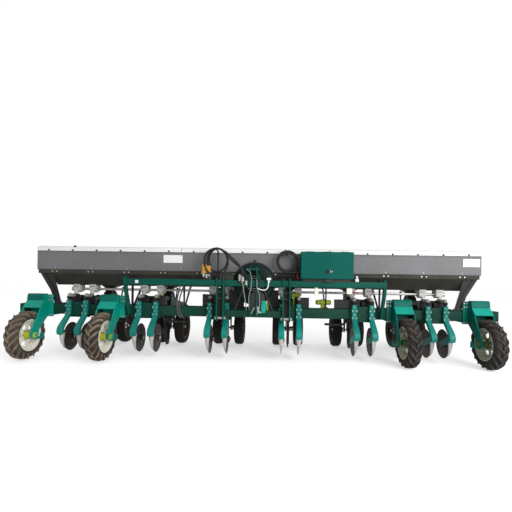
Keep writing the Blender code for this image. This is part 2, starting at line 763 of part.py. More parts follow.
def lid(x):
    """A shallow crowned cover over one hopper section, hollow underneath."""
    low, front, rear = HOPPER_TOP + SEAT_GAP, HOPPER_FRONT - LID_OVERLAP, HOPPER_REAR + LID_OVERLAP
    top = low + LID_RISE
    crown = [
        (front, low),
        (front, low + 0.028),
        (front + 0.035, top - 0.006),
        (front + 0.19, top),
        (rear - 0.12, top - 0.006),
        (rear, low + 0.020),
        (rear, low),
    ]
    wall = LID_WALL
    hollow = [
        (front + wall, low - 0.01),
        (front + wall, low + 0.026),
        (front + 0.037, top - 0.006 - wall),
        (front + 0.19, top - wall),
        (rear - 0.122, top - 0.006 - wall),
        (rear - wall, low + 0.018),
        (rear - wall, low - 0.01),
    ]
    return joined([plate(crown, x)], [plate(hollow, (x[0] + wall, x[1] - wall))])


# Hitch frame, fan and toolbox

def main_frame():
    """Toolbar and front rail, with their arms, clevises, mast, fan casing, shelf, valve block and hook."""
    rail_front, rail_rear = -RAIL_AHEAD - RAIL_SIDE / 2, -RAIL_AHEAD + RAIL_SIDE / 2
    near = BEAM_HALF - WELD
    far = BEAM_HALF + CLAMP_PLATE
    tube, hollow = toolbar()
    arm_x = (ROWS[-2] + BRACKET_HALF + INNER_WHEEL - FORK_MOUNT_INBOARD) / 2
    arm_half = 0.014
    rail_end = arm_x + arm_half
    parts = [block((-rail_end, rail_end), (rail_front, rail_rear), (RAIL_BOTTOM, RAIL_TOP))]
    arm = [
        (rail_front + 0.004, RAIL_TOP + 0.015),
        (rail_front + 0.004, RAIL_BOTTOM - 0.02),
        (-far - 0.035, BEAM_TOP),
        (-far - 0.015, BEAM_BOTTOM + 0.01),
        (-near, BEAM_BOTTOM + 0.01),
        (-near, BEAM_TOP + 0.03),
        (rail_rear - 0.010, RAIL_BOTTOM - 0.02),
        (rail_rear - 0.010, RAIL_TOP + 0.015),
    ]
    for side in (-1, 1):
        parts.append(plate(arm, (side * arm_x - arm_half, side * arm_x + arm_half)))
    clevis_front = rail_front - 0.035
    clevis = [
        (clevis_front + 0.012, RAIL_TOP + 0.02),
        (clevis_front, BEAM_BOTTOM + 0.05),
        (clevis_front + 0.010, CLEVIS_BOTTOM),
        (rail_rear - 0.020, CLEVIS_BOTTOM),
        (rail_rear - 0.003, BEAM_BOTTOM + 0.04),
        (rail_rear - 0.003, RAIL_TOP + 0.02),
    ]
    pin = CLEVIS_GAP / 2 + CLEVIS_PLATE + 0.016
    pin_y, pin_z = clevis_front + 0.035, CLEVIS_BOTTOM + 0.028
    for side in (-1, 1):
        middle = side * HITCH_OFFSET
        for x in (middle - CLEVIS_GAP / 2 - CLEVIS_PLATE, middle + CLEVIS_GAP / 2):
            parts.append(plate(clevis, (x, x + CLEVIS_PLATE)))
        parts.append(rod((middle - pin, pin_y, pin_z), (middle + pin, pin_y, pin_z), HITCH_PIN))
    bar = HITCH_OFFSET - CLEVIS_GAP / 2 - CLEVIS_PLATE / 2
    bar_z = (BEAM_BOTTOM + 0.02, BEAM_BOTTOM + 0.02 + CROSSBAR_HEIGHT)
    parts.append(block((-bar, bar), (rail_rear - 0.050, rail_rear - 0.005), bar_z))
    strut = ROWS[ROW_COUNT // 2] - BRACKET_HALF - 0.030
    for side in (-1, 1):
        x = sorted((side * (strut - 0.06), side * strut))
        parts.append(block(x, (rail_rear - 0.03, -near), (bar_z[0] + 0.008, bar_z[1] - 0.008)))
    mast = [
        (rail_front - 0.020, bar_z[0] + 0.004),
        (rail_rear - 0.010, bar_z[0] + 0.004),
        (rail_rear - 0.010, MAST_TOP - 0.05),
        (rail_front + 0.030, MAST_TOP),
        (rail_front - 0.010, MAST_TOP),
        (rail_front - 0.030, MAST_TOP - 0.04),
        (rail_front - 0.020, RAIL_TOP),
    ]
    for x in (-CLEVIS_GAP / 2 - CLEVIS_PLATE, CLEVIS_GAP / 2):
        parts.append(plate(mast, (x, x + CLEVIS_PLATE)))
    parts.append(rod((-pin, rail_front, MAST_TOP - 0.03), (pin, rail_front, MAST_TOP - 0.03), HITCH_PIN))
    lug_half = 0.013
    lug_in, lug_out = CLEVIS_GAP / 2 + CLEVIS_PLATE - WELD, CLEVIS_GAP / 2 + CLEVIS_PLATE + 0.022
    for side in (-1, 1):
        foot = (side * (strut - 0.02), rail_rear - 0.028, bar_z[1] - 0.01)
        strut_top = (side * (lug_in + lug_out) / 2, rail_front, RAIL_TOP + 0.040)
        parts.append(rod(strut_top, foot, 0.009, 8))
        lug_x = sorted((side * lug_in, side * lug_out))
        lug_y = (rail_front - lug_half, rail_front + lug_half)
        parts.append(block(lug_x, lug_y, (RAIL_TOP + 0.005, RAIL_TOP + 0.055)))
    casing_rear = -FAN_BEHIND
    casing_front = casing_rear - FAN_DEPTH
    wall = FAN_WALL
    fan_bore = (FAN_SHAFT + RUNNING_GAP) / math.cos(math.pi / 24)
    casing = [
        (casing_front, FAN_INLET),
        (casing_front, FAN_RADIUS),
        (casing_rear, FAN_RADIUS),
        (casing_rear, fan_bore),
        (casing_rear - wall, fan_bore),
        (casing_rear - wall, FAN_RADIUS - wall),
        (casing_front + wall, FAN_RADIUS - wall),
        (casing_front + wall, FAN_INLET),
    ]
    parts.append(turned(casing, (0, 0, FAN_HEIGHT), axis="Y", sides=24))
    for side in (-1, 1):
        x = sorted((side * (FAN_INLET + 0.03), side * (FAN_INLET + 0.09)))
        lug_z = (RAIL_BOTTOM + 0.01, RAIL_TOP - 0.01)
        parts.append(block(x, (rail_rear - 0.01, casing_front + WELD), lug_z))
    width, depth, _ = TOOLBOX_SIZE
    parts.append(
        block(
            (TOOLBOX_LEFT + 0.02, TOOLBOX_LEFT + width - 0.02),
            (TOOLBOX_FRONT + 0.030, TOOLBOX_FRONT + depth),
            (RAIL_TOP - 0.004, RAIL_TOP - 0.004 + SHELF),
        )
    )
    valve_y = (rail_front - 0.006, rail_rear - 0.006)
    parts.append(block(VALVE_SPAN, valve_y, (RAIL_TOP - 0.004, VALVE_TOP)))
    stem_y = rail_rear - HOOK_RADIUS - 0.001
    stem = (HOSE_HOOK, stem_y, HOOK_HEIGHT)
    parts.append(rod((HOSE_HOOK, stem_y, RAIL_TOP - 0.01), stem, HOOK_RADIUS, 8))
    tip = (HOSE_HOOK, stem_y - 0.056, HOOK_HEIGHT)
    parts.append(rod((HOSE_HOOK, stem_y + 0.002, HOOK_HEIGHT), tip, HOOK_RADIUS, 8))
    return joined([tube] + parts, [hollow])


def fan_rotor():
    """The fan's wheel inside its casing, on a shaft that turns in the casing's rear wall."""
    rear = -FAN_BEHIND - FAN_WALL
    front = -FAN_BEHIND - FAN_DEPTH
    shaft = FAN_SHAFT
    rotor = FAN_RADIUS - FAN_WALL - 0.024
    disc_rear = rear - 0.010
    profile = [
        (rear + 0.012, 0.0),
        (rear + 0.012, shaft),
        (disc_rear, shaft),
        (disc_rear, rotor),
        (disc_rear - 0.004, rotor),
        (disc_rear - 0.004, 0.035),
        (front + 0.010, 0.022),
        (front - 0.003, 0.022),
        (front - 0.003, 0.0),
    ]
    return joined([spindle(profile, FAN_HEIGHT, 20)])


def toolbox():
    """A sheet-metal box with its front flange, open against the hopper."""
    width, depth, height = TOOLBOX_SIZE
    x = (TOOLBOX_LEFT, TOOLBOX_LEFT + width)
    y = (TOOLBOX_FRONT, TOOLBOX_FRONT + depth)
    low = RAIL_TOP - 0.004 + SHELF + SEAT_GAP
    shell = block(x, y, (low, low + height))
    hollow = block(
        (x[0] + SHEET, x[1] - SHEET), (y[0] + SHEET, y[1] + 0.02), (low + SHEET, low + height - SHEET)
    )
    return joined([shell], [hollow])


# Coiled control cable and hydraulic hose

def smooth(points, count):
    """count points on a smooth curve through the given points."""
    points = [Vector(point) for point in points]
    padded = [2 * points[0] - points[1], *points, 2 * points[-1] - points[-2]]
    result = []
    for i in range(count):
        t = i * (len(points) - 1) / (count - 1)
        k = min(int(t), len(points) - 2)
        u = t - k
        a, b, c, d = padded[k : k + 4]
        bend = 2 * a - 5 * b + 4 * c - d
        result.append(0.5 * (2 * b + (c - a) * u + bend * u**2 + (3 * b - a - 3 * c + d) * u**3))
    return result


def tube(name, points, diameter, finish):
    """A round tube along a polyline, with flat ends."""
    curve = bpy.data.curves.new(name, "CURVE")
    curve.dimensions = "3D"
    curve.bevel_depth = diameter / 2
    curve.bevel_resolution = 2
    curve.use_fill_caps = True
    curve.materials.append(finish)
    line = curve.splines.new("POLY")
    line.points.add(len(points) - 1)
    for point, place_ in zip(line.points, points):
        point.co = (*place_, 1)
    made = bpy.data.objects.new(name, curve)
    made.parent = planter
    bpy.context.scene.collection.objects.link(made)
    return made


def cable_coil():
    """The outer shape of the hung cable coil with its two straight ends."""
    half_y = COIL_ROWS * CABLE_DIAMETER / 2 + COIL_SLACK
    half_r = COIL_LAYERS * CABLE_DIAMETER / 2 + COIL_SLACK
    ring = [
        (-half_y, COIL_RADIUS - half_r),
        (-half_y, COIL_RADIUS + half_r),
        (half_y, COIL_RADIUS + half_r),
        (half_y, COIL_RADIUS - half_r),
    ]
    x, y, z = COIL_CENTRE
    side = COIL_RADIUS + CABLE_DIAMETER / 2
    back = y + CABLE_DIAMETER
    front = y - CABLE_DIAMETER
    low = RAIL_TOP + SHELF + SEAT_GAP - 0.004
    radius = CABLE_DIAMETER / 2
    parts = [
        turned(ring, COIL_CENTRE, axis="Y", sides=24),
        rod((x + side, back, low), (x + side, back, z), radius),
        rod((x, front, z - side), (TOOLBOX_LEFT - SEAT_GAP, front, z - side), radius),
    ]
    return joined(parts)


HOSE_ROUTE = [
    (-0.415, -0.180, VALVE_TOP + SEAT_GAP),
    (-0.415, -0.180, 0.900),
    (-0.428, -0.182, 0.970),
    (-0.405, -0.186, 1.035),
    (-0.345, -0.190, 1.070),
    (-0.280, -0.192, 1.035),
    (-0.252, -0.194, 0.960),
    (-0.280, -0.198, 0.885),
    (-0.345, -0.202, 0.850),
    (-0.415, -0.206, 0.885),
    (-0.440, -0.208, 0.960),
    (-0.412, -0.209, 1.035),
    (-0.345, -0.210, 1.070),
    (-0.275, -0.211, 1.030),
    (-0.225, -0.212, 0.975),
    (-0.165, -0.216, 0.925),
    (-0.110, -0.222, 0.880),
    (-0.075, -0.226, 0.830),
    (-0.068, -0.226, 0.785),
    (-0.068, -0.226, 0.740),
]


def build():
    """Every piece of the planter, by name."""
    place("main_frame", main_frame(), GREEN)
    place("fan_rotor", fan_rotor(), BLACK, pivot=(0, 0, FAN_HEIGHT))
    place("hopper", hopper(), GREY)
    shaft_z = TROUGH_BOTTOM - METER_BOX[2] / 2
    place("metering_shaft", metering_shaft(), STEEL, pivot=(0, SHAFT_BEHIND, shaft_z))
    hinge = (0, HOPPER_REAR + LID_OVERLAP, HOPPER_TOP + SEAT_GAP)
    for name, span in zip(("left", "centre", "right"), section_spans(LID_GAP / 2)):
        place(f"lid_{name}", lid(span), WHITE, pivot=hinge)
    place("toolbox", toolbox(), GREEN)
    forks = {side: wheel_fork(side) for side in (-1, 1)}
    tyre = gauge_wheel()
    for number, x in enumerate(WHEELS, 1):
        place(f"wheel_fork_{number}", forks[-1 if x > 0 else 1], GREEN, at=(x, 0, 0))
        place(f"gauge_wheel_{number}", tyre, RUBBER, (x, 0, 0), (0, -WHEEL_AHEAD, WHEEL_RADIUS))
    bracket, disc = opener_bracket(), opener_disc()
    lower, upper, unit, press = link_arm(LOWER_PIVOT), link_arm(UPPER_PIVOT), row_unit(), press_wheels()
    for number, x in enumerate(ROWS, 1):
        at = (x, 0, 0)
        place(f"opener_bracket_{number}", bracket, GREEN, at)
        for letter, side in (("a", -1), ("b", 1)):
            shank = (x + side * OPENER_OFFSET, 0, 0)
            place(f"opener_disc_{number}{letter}", disc, DISC_STEEL, shank, (0, -DISC_AHEAD, DISC_HEIGHT))
        place(f"lower_arm_{number}", lower, GREEN, at, (0, ARM_FRONT, LOWER_PIVOT))
        place(f"upper_arm_{number}", upper, GREEN, at, (0, ARM_FRONT, UPPER_PIVOT))
        place(f"row_unit_{number}", unit, BLACK, at, (0, ARM_REAR, LOWER_PIVOT))
        place(f"press_wheels_{number}", press, RUBBER, at, (0, PRESS_BEHIND, PRESS_RADIUS))
    place("cable_coil", cable_coil(), HOSE)
    tube("hydraulic_hose", smooth(HOSE_ROUTE, 48), HOSE_DIAMETER, HOSE)


build()
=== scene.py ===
# %% [markdown]
# # A six-row corn planter
# A wide toolbar hangs on the tractor and rolls on four gauge wheels. Ahead of it, curved shanks and discs
# place fertiliser; behind it, six row units float on parallel arms and place the seed. A long hopper with
# white lids feeds everything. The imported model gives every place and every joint, and this lesson gives each
# piece its finished shape and surface around that model.

# %% The frame
import json
import math

import bmesh
import bpy
from mathutils import Matrix, Vector


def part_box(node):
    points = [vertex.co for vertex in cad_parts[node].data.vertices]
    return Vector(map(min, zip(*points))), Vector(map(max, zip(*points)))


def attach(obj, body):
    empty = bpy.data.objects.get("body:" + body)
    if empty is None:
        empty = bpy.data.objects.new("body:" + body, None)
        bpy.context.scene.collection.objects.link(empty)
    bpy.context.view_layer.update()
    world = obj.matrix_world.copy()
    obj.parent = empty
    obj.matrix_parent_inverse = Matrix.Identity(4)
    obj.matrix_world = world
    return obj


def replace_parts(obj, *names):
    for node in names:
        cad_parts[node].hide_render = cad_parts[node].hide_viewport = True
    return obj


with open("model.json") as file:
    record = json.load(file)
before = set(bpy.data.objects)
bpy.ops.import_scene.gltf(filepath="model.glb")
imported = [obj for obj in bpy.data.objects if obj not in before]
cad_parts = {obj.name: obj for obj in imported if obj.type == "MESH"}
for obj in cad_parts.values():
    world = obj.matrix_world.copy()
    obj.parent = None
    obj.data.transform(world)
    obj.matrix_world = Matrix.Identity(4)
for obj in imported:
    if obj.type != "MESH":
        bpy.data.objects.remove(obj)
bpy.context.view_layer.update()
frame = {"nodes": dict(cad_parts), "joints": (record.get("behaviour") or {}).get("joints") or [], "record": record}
joints = {joint["name"]: joint for joint in frame["joints"]}

# %% [markdown]
# ## Where things are
# Nearly all outlines below are easiest to read when they are measured from the middle of the toolbar, which
# lies a little ahead of the model's own origin. The wheel joints say by how much. Every mesh is built in
# toolbar measures, and `finish_piece` moves it into the model's frame.

# %% Places along the machine
WHEEL_AHEAD = 0.25
BAR_Y = joints["gauge_wheel_1_spin"]["pos_m"][1] + WHEEL_AHEAD
BAR_HALF = 0.05
BAR_LOW, BAR_TOP = 0.41, 0.51
BAR_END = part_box("main_frame")[1].x
GAP = 0.0003  # keeps faces that meet from lying in one plane
BAR_FACE, SEAT = BAR_HALF + GAP, BAR_TOP + GAP
ROWS = [joints[f"lower_arm_{n}_swing"]["pos_m"][0] for n in range(1, 7)]
WHEELS = [joints[f"gauge_wheel_{n}_spin"]["pos_m"][0] for n in range(1, 5)]
SHANK_OFFSET = joints["opener_disc_1b_spin"]["pos_m"][0] - ROWS[0]
SHANKS = [row + side * SHANK_OFFSET for row in ROWS for side in (-1, 1)]
HOPPER_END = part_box("hopper")[1].x
HOPPER_FRONT, HOPPER_REAR = -0.05, 0.50
HOPPER_TOP = 1.04
PANEL_LOW = 0.855
LEDGE_LOW = 0.815
TROUGH_LOW = 0.70
TROUGH_END = HOPPER_END - 0.14
print("rows at", [round(x, 2) for x in ROWS], "toolbar at y", round(BAR_Y, 3))

# %% [markdown]
# ## Shapes
# A farm machine is flame-cut plate, folded sheet, square tube, turned parts and hose. One small helper for
# each keeps the pieces short to write: a plate cut from an outline, a block, a turned ring, and a bar swept
# along a line. Each returns a bmesh, and bmeshes can be poured together before they become one object.

# %% Helpers for solids
def poured(*pieces):
    """One bmesh holding all the given ones."""
    whole = bmesh.new()
    for piece in pieces:
        mesh = bpy.data.meshes.new("poured")
        piece.to_mesh(mesh)
        piece.free()
        whole.from_mesh(mesh)
        bpy.data.meshes.remove(mesh)
    return whole


def placed(name, data):
    """A new object around a mesh, curve, camera or lamp, put in the scene."""
    made = bpy.data.objects.new(name, data)
    bpy.context.scene.collection.objects.link(made)
    return made


def about(middle, half):
    """The (low, high) range that reaches half to either side of middle."""
    return middle - half, middle + half


def both_ways(half):
    """A profile that is alike on both sides, from its half given from the end to the middle."""
    return [(-along, radius) for along, radius in half] + list(reversed(half))


def circle_of(count, centre, radius, start=0.0):
    """Places evenly round a centre, about X, the first turned by start from the lowest place."""
    x, y, z = centre
    turns = [start + 2 * math.pi * i / count for i in range(count)]
    return [(x, y + radius * math.sin(turn), z - radius * math.cos(turn)) for turn in turns]


print("a ring of six starts at z", circle_of(6, (0, 0, 0), 1.0)[0][2])

# %% Blocks and plates
def through(rings, closed=False):
    """Skin a list of equal rings of points; closed joins the last ring to the first."""
    bm = bmesh.new()
    made = [[bm.verts.new(point) for point in ring] for ring in rings]
    pairs = list(zip(made, made[1:])) + ([(made[-1], made[0])] if closed else [])
    for first, second in pairs:
        for i in range(len(first)):
            j = (i + 1) % len(first)
            bm.faces.new((first[i], first[j], second[j], second[i]))
    if not closed:
        bm.faces.new(list(reversed(made[0])))
        bm.faces.new(made[-1])
    bmesh.ops.recalc_face_normals(bm, faces=bm.faces)
    return bm


def block(x, y, z):
    """A box from its (low, high) ranges."""
    ring = ((x[0], y[0]), (x[1], y[0]), (x[1], y[1]), (x[0], y[1]))
    return through([[(*point, level) for point in ring] for level in z])


def plate(outline, x):
    """A flat plate across the machine, from a (y, z) outline."""
    return through([[(side, *point) for point in outline] for side in x])


def front_plate(outline, y):
    """A flat plate facing the tractor, from an (x, z) outline."""
    return through([[(point[0], side, point[1]) for point in outline] for side in y])


print("a block has", len(block((0, 1), (0, 1), (0, 1)).faces), "faces")

# %% Turned and swept solids
def turned(profile, centre=(0, 0, 0), axis="X", sides=64):
    """A ring turned about an axis through centre, from a closed (along, radius) profile."""
    rings = []
    for i in range(sides):
        angle = 2 * math.pi * i / sides
        ring = []
        for along, radius in profile:
            across, up = radius * math.sin(angle), -radius * math.cos(angle)
            if axis == "X":
                ring.append((centre[0] + along, centre[1] + across, centre[2] + up))
            elif axis == "Y":
                ring.append((centre[0] + across, centre[1] + along, centre[2] + up))
            else:
                ring.append((centre[0] + across, centre[1] + up, centre[2] + along))
        rings.append(ring)
    bm = through(rings, closed=True)
    bmesh.ops.remove_doubles(bm, verts=bm.verts, dist=1e-6)
    bmesh.ops.dissolve_degenerate(bm, edges=bm.edges, dist=1e-6)
    bmesh.ops.recalc_face_normals(bm, faces=bm.faces)
    return bm


def cylinder(start, end, radius, sides=20, chamfer=0.0):
    """A round bar between two points, with a small chamfer on its ends."""
    start, end = Vector(start), Vector(end)
    along = (end - start).normalized()
    turn = along.to_track_quat("Z", "Y").to_matrix()
    circle = [(math.cos(a), math.sin(a)) for a in (2 * math.pi * i / sides for i in range(sides))]
    levels = [(start, radius - chamfer), (end, radius - chamfer)]
    if chamfer:
        levels = [levels[0], (start + along * chamfer, radius), (end - along * chamfer, radius), levels[1]]
    return through([[place + turn @ Vector((r * x, r * y, 0)) for x, y in circle] for place, r in levels])


def swept(points, section):
    """A bar through points. section(share) gives its (across, up) outline at each share of its length."""
    points = [Vector(point) for point in points]
    rings = []
    for i, point in enumerate(points):
        before, after = points[max(i - 1, 0)], points[min(i + 1, len(points) - 1)]
        along = (after - before).normalized()
        lift = along.cross(Vector((1, 0, 0))).normalized()
        side = lift.cross(along).normalized()
        rings.append([point + side * a + lift * b for a, b in section(i / (len(points) - 1))])
    return through(rings)


print("turned and swept solids can be made")

# %% Smooth lines and pipes
def smooth_line(points, count):
    """count points on a smooth curve through the given ones."""
    points = [Vector(point) for point in points]
    padded = [2 * points[0] - points[1], *points, 2 * points[-1] - points[-2]]
    line = []
    for i in range(count):
        t = i * (len(points) - 1) / (count - 1)
        k = min(int(t), len(points) - 2)
        u = t - k
        a, b, c, d = padded[k : k + 4]
        bend = 2 * a - 5 * b + 4 * c - d
        line.append(0.5 * (2 * b + (c - a) * u + bend * u**2 + (3 * b - a - 3 * c + d) * u**3))
    return line


def pipe(points, radius, sides=12, count=None):
    """A round pipe along a line, with its rings carried along so that they never twist."""
    points = smooth_line(points, count) if count else [Vector(point) for point in points]
    rings = []
    side = None
    for i, point in enumerate(points):
        along = (points[min(i + 1, len(points) - 1)] - points[max(i - 1, 0)]).normalized()
        if side is None:
            side = along.orthogonal().normalized()
        side = (side - along * side.dot(along)).normalized()
        lift = along.cross(side)
        ring = []
        for k in range(sides):
            angle = 2 * math.pi * k / sides
            ring.append(point + radius * (side * math.cos(angle) + lift * math.sin(angle)))
        rings.append(ring)
    return through(rings)


def mirrored(bm):
    """A copy of a bmesh on the other side of X = 0."""
    copy = bm.copy()
    bmesh.ops.scale(copy, vec=(-1, 1, 1), verts=copy.verts)
    bmesh.ops.recalc_face_normals(copy, faces=copy.faces)
    return copy


def shifted(bm, x=0.0, y=0.0, z=0.0):
    """The same bmesh, moved."""
    bmesh.ops.translate(bm, vec=(x, y, z), verts=bm.verts)
    return bm


print("pipes can be made")

# %% From solid to finished piece
SHARP, BEVELLED = 35, 40  # degrees from which an edge is creased, and from which it gets a bevel


def finish_piece(name, bm, material, body="frame", bevel=0.0, sharp=SHARP):
    """Turn a bmesh, or a list of them, into one finished piece that rides on a body."""
    if isinstance(bm, list):
        bm = poured(*bm)
    bmesh.ops.translate(bm, vec=(0, BAR_Y, 0), verts=bm.verts)
    mesh = bpy.data.meshes.new(name)
    bm.to_mesh(mesh)
    bm.free()
    mesh.materials.append(material)
    mesh.shade_smooth()
    mesh.set_sharp_from_angle(angle=math.radians(sharp))
    piece = placed(name, mesh)
    if bevel:
        edge = piece.modifiers.new("edges", "BEVEL")
        edge.width = bevel
        edge.segments = 2
        edge.limit_method = "ANGLE"
        edge.angle_limit = math.radians(BEVELLED)
        edge.use_clamp_overlap = True
    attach(piece, body)
    return piece


print("edges sharper than", BEVELLED, "degrees can be bevelled")

# %% [markdown]
# ## Paint, rubber and steel
# A machine that has been in a field is never one flat colour. One recipe covers most finishes: the base
# colour drifts a little over the surface, dust lies in soft patches, and tiny chips catch the light. The
# pattern reads the object's own coordinates, so it stays on the piece when the piece moves.

# %% A recipe for weathered finishes
def rgb(red, green, blue):
    """A display colour, 0 to 255, as linear light."""
    linear = [((c / 255 + 0.055) / 1.055) ** 2.4 if c > 10 else c / 255 / 12.92 for c in (red, green, blue)]
    return (*linear, 1.0)


DRIFT_SCALE, DRIFT_DETAIL, PATCH_DETAIL = 2.2, 5.0, 6.0
DRIFT_RANGE, PATCH_RANGE, GRAIN_RANGE = (0.35, 0.65), (0.45, 0.75), (0.3, 0.7)
SMOOTHER, ROUGHER = 0.85, 1.2  # how far the grain takes the roughness down and up
ROUGHNESS_GRAIN = 0.4  # the roughness pattern is coarser than the relief by this
COAT_ROUGHNESS, RELIEF_DEPTH = 0.25, 0.002


def finish(name, colour, roughness=0.45, metallic=0.0, drift=0.15, dust=0.1,
           dust_colour=(0.30, 0.26, 0.21, 1), grain=60.0, bump=0.05, coat=0.0, patch=5.0, shine=0.25):
    """A Principled finish with drifting colour, patches of dust and a fine grain."""
    made = bpy.data.materials.new(name)
    made.use_nodes = True
    nodes, links = made.node_tree.nodes, made.node_tree.links
    shader = nodes["Principled BSDF"]
    shader.inputs["Metallic"].default_value = metallic
    shader.inputs["Coat Weight"].default_value = coat
    shader.inputs["Specular IOR Level"].default_value = shine
    shader.inputs["Coat Roughness"].default_value = COAT_ROUGHNESS
    where = nodes.new("ShaderNodeTexCoord")

    def noise(scale, detail=4.0):
        node = nodes.new("ShaderNodeTexNoise")
        node.inputs["Scale"].default_value = scale
        node.inputs["Detail"].default_value = detail
        links.new(where.outputs["Object"], node.inputs["Vector"])
        return node.outputs["Fac"]

    def ramp(value, low, high, to_low=0.0, to_high=1.0):
        node = nodes.new("ShaderNodeMapRange")
        node.inputs["From Min"].default_value = low
        node.inputs["From Max"].default_value = high
        node.inputs["To Min"].default_value = to_low
        node.inputs["To Max"].default_value = to_high
        links.new(value, node.inputs["Value"])
        return node.outputs["Result"]

    def mix(share, first, second):
        node = nodes.new("ShaderNodeMix")
        node.data_type = "RGBA"
        links.new(share, node.inputs["Factor"])
        for value, socket in ((first, node.inputs["A"]), (second, node.inputs["B"])):
            if isinstance(value, tuple):
                socket.default_value = value
            else:
                links.new(value, socket)
        return node.outputs["Result"]

    dark = tuple(c * (1 - drift) for c in colour[:3]) + (1.0,)
    light = tuple(min(c * (1 + drift) + 0.01 * drift, 1.0) for c in colour[:3]) + (1.0,)
    coloured = mix(ramp(noise(DRIFT_SCALE, DRIFT_DETAIL), *DRIFT_RANGE), dark, light)
    patches = ramp(noise(patch, PATCH_DETAIL), *PATCH_RANGE, 0.0, dust)
    lit_and_dusty = mix(patches, coloured, dust_colour)
    links.new(lit_and_dusty, shader.inputs["Base Color"])
    rough = ramp(noise(grain * ROUGHNESS_GRAIN), *GRAIN_RANGE, roughness * SMOOTHER,
                 min(roughness * ROUGHER, 1.0))
    links.new(rough, shader.inputs["Roughness"])
    relief = nodes.new("ShaderNodeBump")
    relief.inputs["Strength"].default_value = bump
    relief.inputs["Distance"].default_value = RELIEF_DEPTH
    links.new(noise(grain), relief.inputs["Height"])
    links.new(relief.outputs["Normal"], shader.inputs["Normal"])
    return made


print("mid grey is", round(rgb(128, 128, 128)[0], 3), "as linear light")

# %% The finishes
BRIGHT = finish("bright_green_paint", rgb(0, 152, 134), 0.42, dust=0.10, dust_colour=rgb(40, 84, 80))
TEAL = finish("shank_green_paint", rgb(0, 124, 112), 0.42, dust=0.2, dust_colour=rgb(40, 84, 110))
# The frame's deep green, darkened below the paint's own colour as painted shade.
SHADED_DEEP_GREEN = finish("deep_green_paint", rgb(6, 58, 46), 0.55, dust=0.35, dust_colour=rgb(40, 50, 42), shine=0.15)
CASING = finish("fan_green_paint", rgb(2, 29, 26), 0.5, dust=0.12, dust_colour=rgb(24, 34, 32), shine=0.12)
BOX_TEAL = finish("tool_box_paint", rgb(0, 84, 75), 0.45, drift=0.05, dust=0.04,
                  dust_colour=rgb(10, 78, 72), shine=0.08)
GREY = finish("hopper_grey_paint", rgb(110, 110, 112), 0.5, drift=0.10, dust=0.18,
              dust_colour=rgb(92, 88, 84), patch=1.6, coat=0.1)
DARK = finish("undercoat_black", rgb(44, 44, 40), 0.62, drift=0.25, dust=0.3, dust_colour=rgb(84, 74, 62))
WHITE = finish("white_lid", rgb(236, 236, 234), 0.55, drift=0.02, dust=0.10, dust_colour=rgb(205, 203, 198))
BLACK = finish("black_plastic", rgb(26, 26, 28), 0.5, dust=0.18, dust_colour=rgb(70, 64, 56))
CHARCOAL = finish("charcoal_plastic", rgb(48, 48, 50), 0.45, dust=0.12, dust_colour=rgb(84, 78, 70))
RUBBER = finish("hose_rubber", rgb(24, 24, 25), 0.55, dust=0.12, dust_colour=rgb(70, 66, 60), grain=180)
# Lit and shaded copies for the gauge wheels: the first two wheels' lugs and tyres are lighter, dust and painted
# light together; the other two are darker as painted shade. The dark tyre finish is also the press wheels' own
# black.
LIT_DUSTY_LUGS = finish("dusty_lugs", rgb(104, 92, 80), 0.9, drift=0.2, dust=0.8, dust_colour=rgb(158, 144, 124),
                  patch=9.0)
SHADED_LUGS = finish("worn_lugs", rgb(62, 58, 56), 0.85, drift=0.25, dust=0.5, dust_colour=rgb(112, 102, 92),
                  patch=9.0)
GUARD_SHADE = finish("guard_top_paint", rgb(0, 100, 88), 0.45, dust=0.25, dust_colour=rgb(24, 74, 84),
                     shine=0.12)
LIT_DUSTY_TREAD = finish("dusty_tyre", rgb(62, 54, 48), 0.9, drift=0.2, dust=0.7, dust_colour=rgb(108, 96, 82),
               bump=0.25, grain=90, patch=7)
DARK_TYRE = finish("black_tyre", rgb(34, 32, 31), 0.85, drift=0.2, dust=0.35, dust_colour=rgb(86, 76, 66),
                   bump=0.2)
CREAM = finish("cream_rim_paint", rgb(238, 234, 220), 0.5, drift=0.04, dust=0.2,
               dust_colour=rgb(180, 166, 142))
# The rims of the other two wheels: the cream darkened as painted shade, with more dust.
SHADED_CREAM = finish("dusty_cream_rim", rgb(180, 180, 162), 0.55, drift=0.08, dust=0.4,
                    dust_colour=rgb(120, 114, 96), patch=12.0)
DUSTY_RIM = finish("dusty_press_rim", rgb(74, 68, 60), 0.6, drift=0.15, dust=0.5,
                   dust_colour=rgb(112, 100, 84), patch=14.0)
OLIVE = finish("shaded_hub_paint", rgb(74, 92, 50), 0.5, drift=0.15, dust=0.35, dust_colour=rgb(58, 58, 44))
# The forks of wheels 3 and 4: the bright green darkened as painted shade.
SHADED_FORK_GREEN = finish("fork_arm_paint", rgb(0, 98, 86), 0.45, dust=0.25, dust_colour=rgb(18, 66, 58),
                   shine=0.12)
YELLOW = finish("yellow_green_paint", rgb(176, 186, 52), 0.5, drift=0.12, dust=0.4,
                dust_colour=rgb(112, 112, 52), patch=18.0)
OIL_YELLOW = finish("oily_yellow_paint", rgb(140, 152, 30), 0.5, drift=0.2, dust=0.6,
                    dust_colour=rgb(62, 66, 26), patch=16.0)
STEEL = finish("bare_steel", rgb(178, 176, 174), 0.35, metallic=0.7, drift=0.15, dust=0.2)
SHIN = finish("worn_point_steel", rgb(186, 182, 178), 0.45, metallic=0.35, drift=0.18, dust=0.35,
              dust_colour=rgb(120, 108, 98), grain=140, bump=0.15)
BOLT = finish("zinc_bolt", rgb(158, 162, 160), 0.4, metallic=0.4, dust=0.35)
DISC = finish("disc_steel", rgb(44, 39, 37), 0.5, metallic=0.35, drift=0.3, dust=0.35,
              dust_colour=rgb(74, 58, 48), grain=120, bump=0.12)
BRASS = finish("brass_block", rgb(190, 138, 44), 0.4, metallic=0.25, drift=0.15)
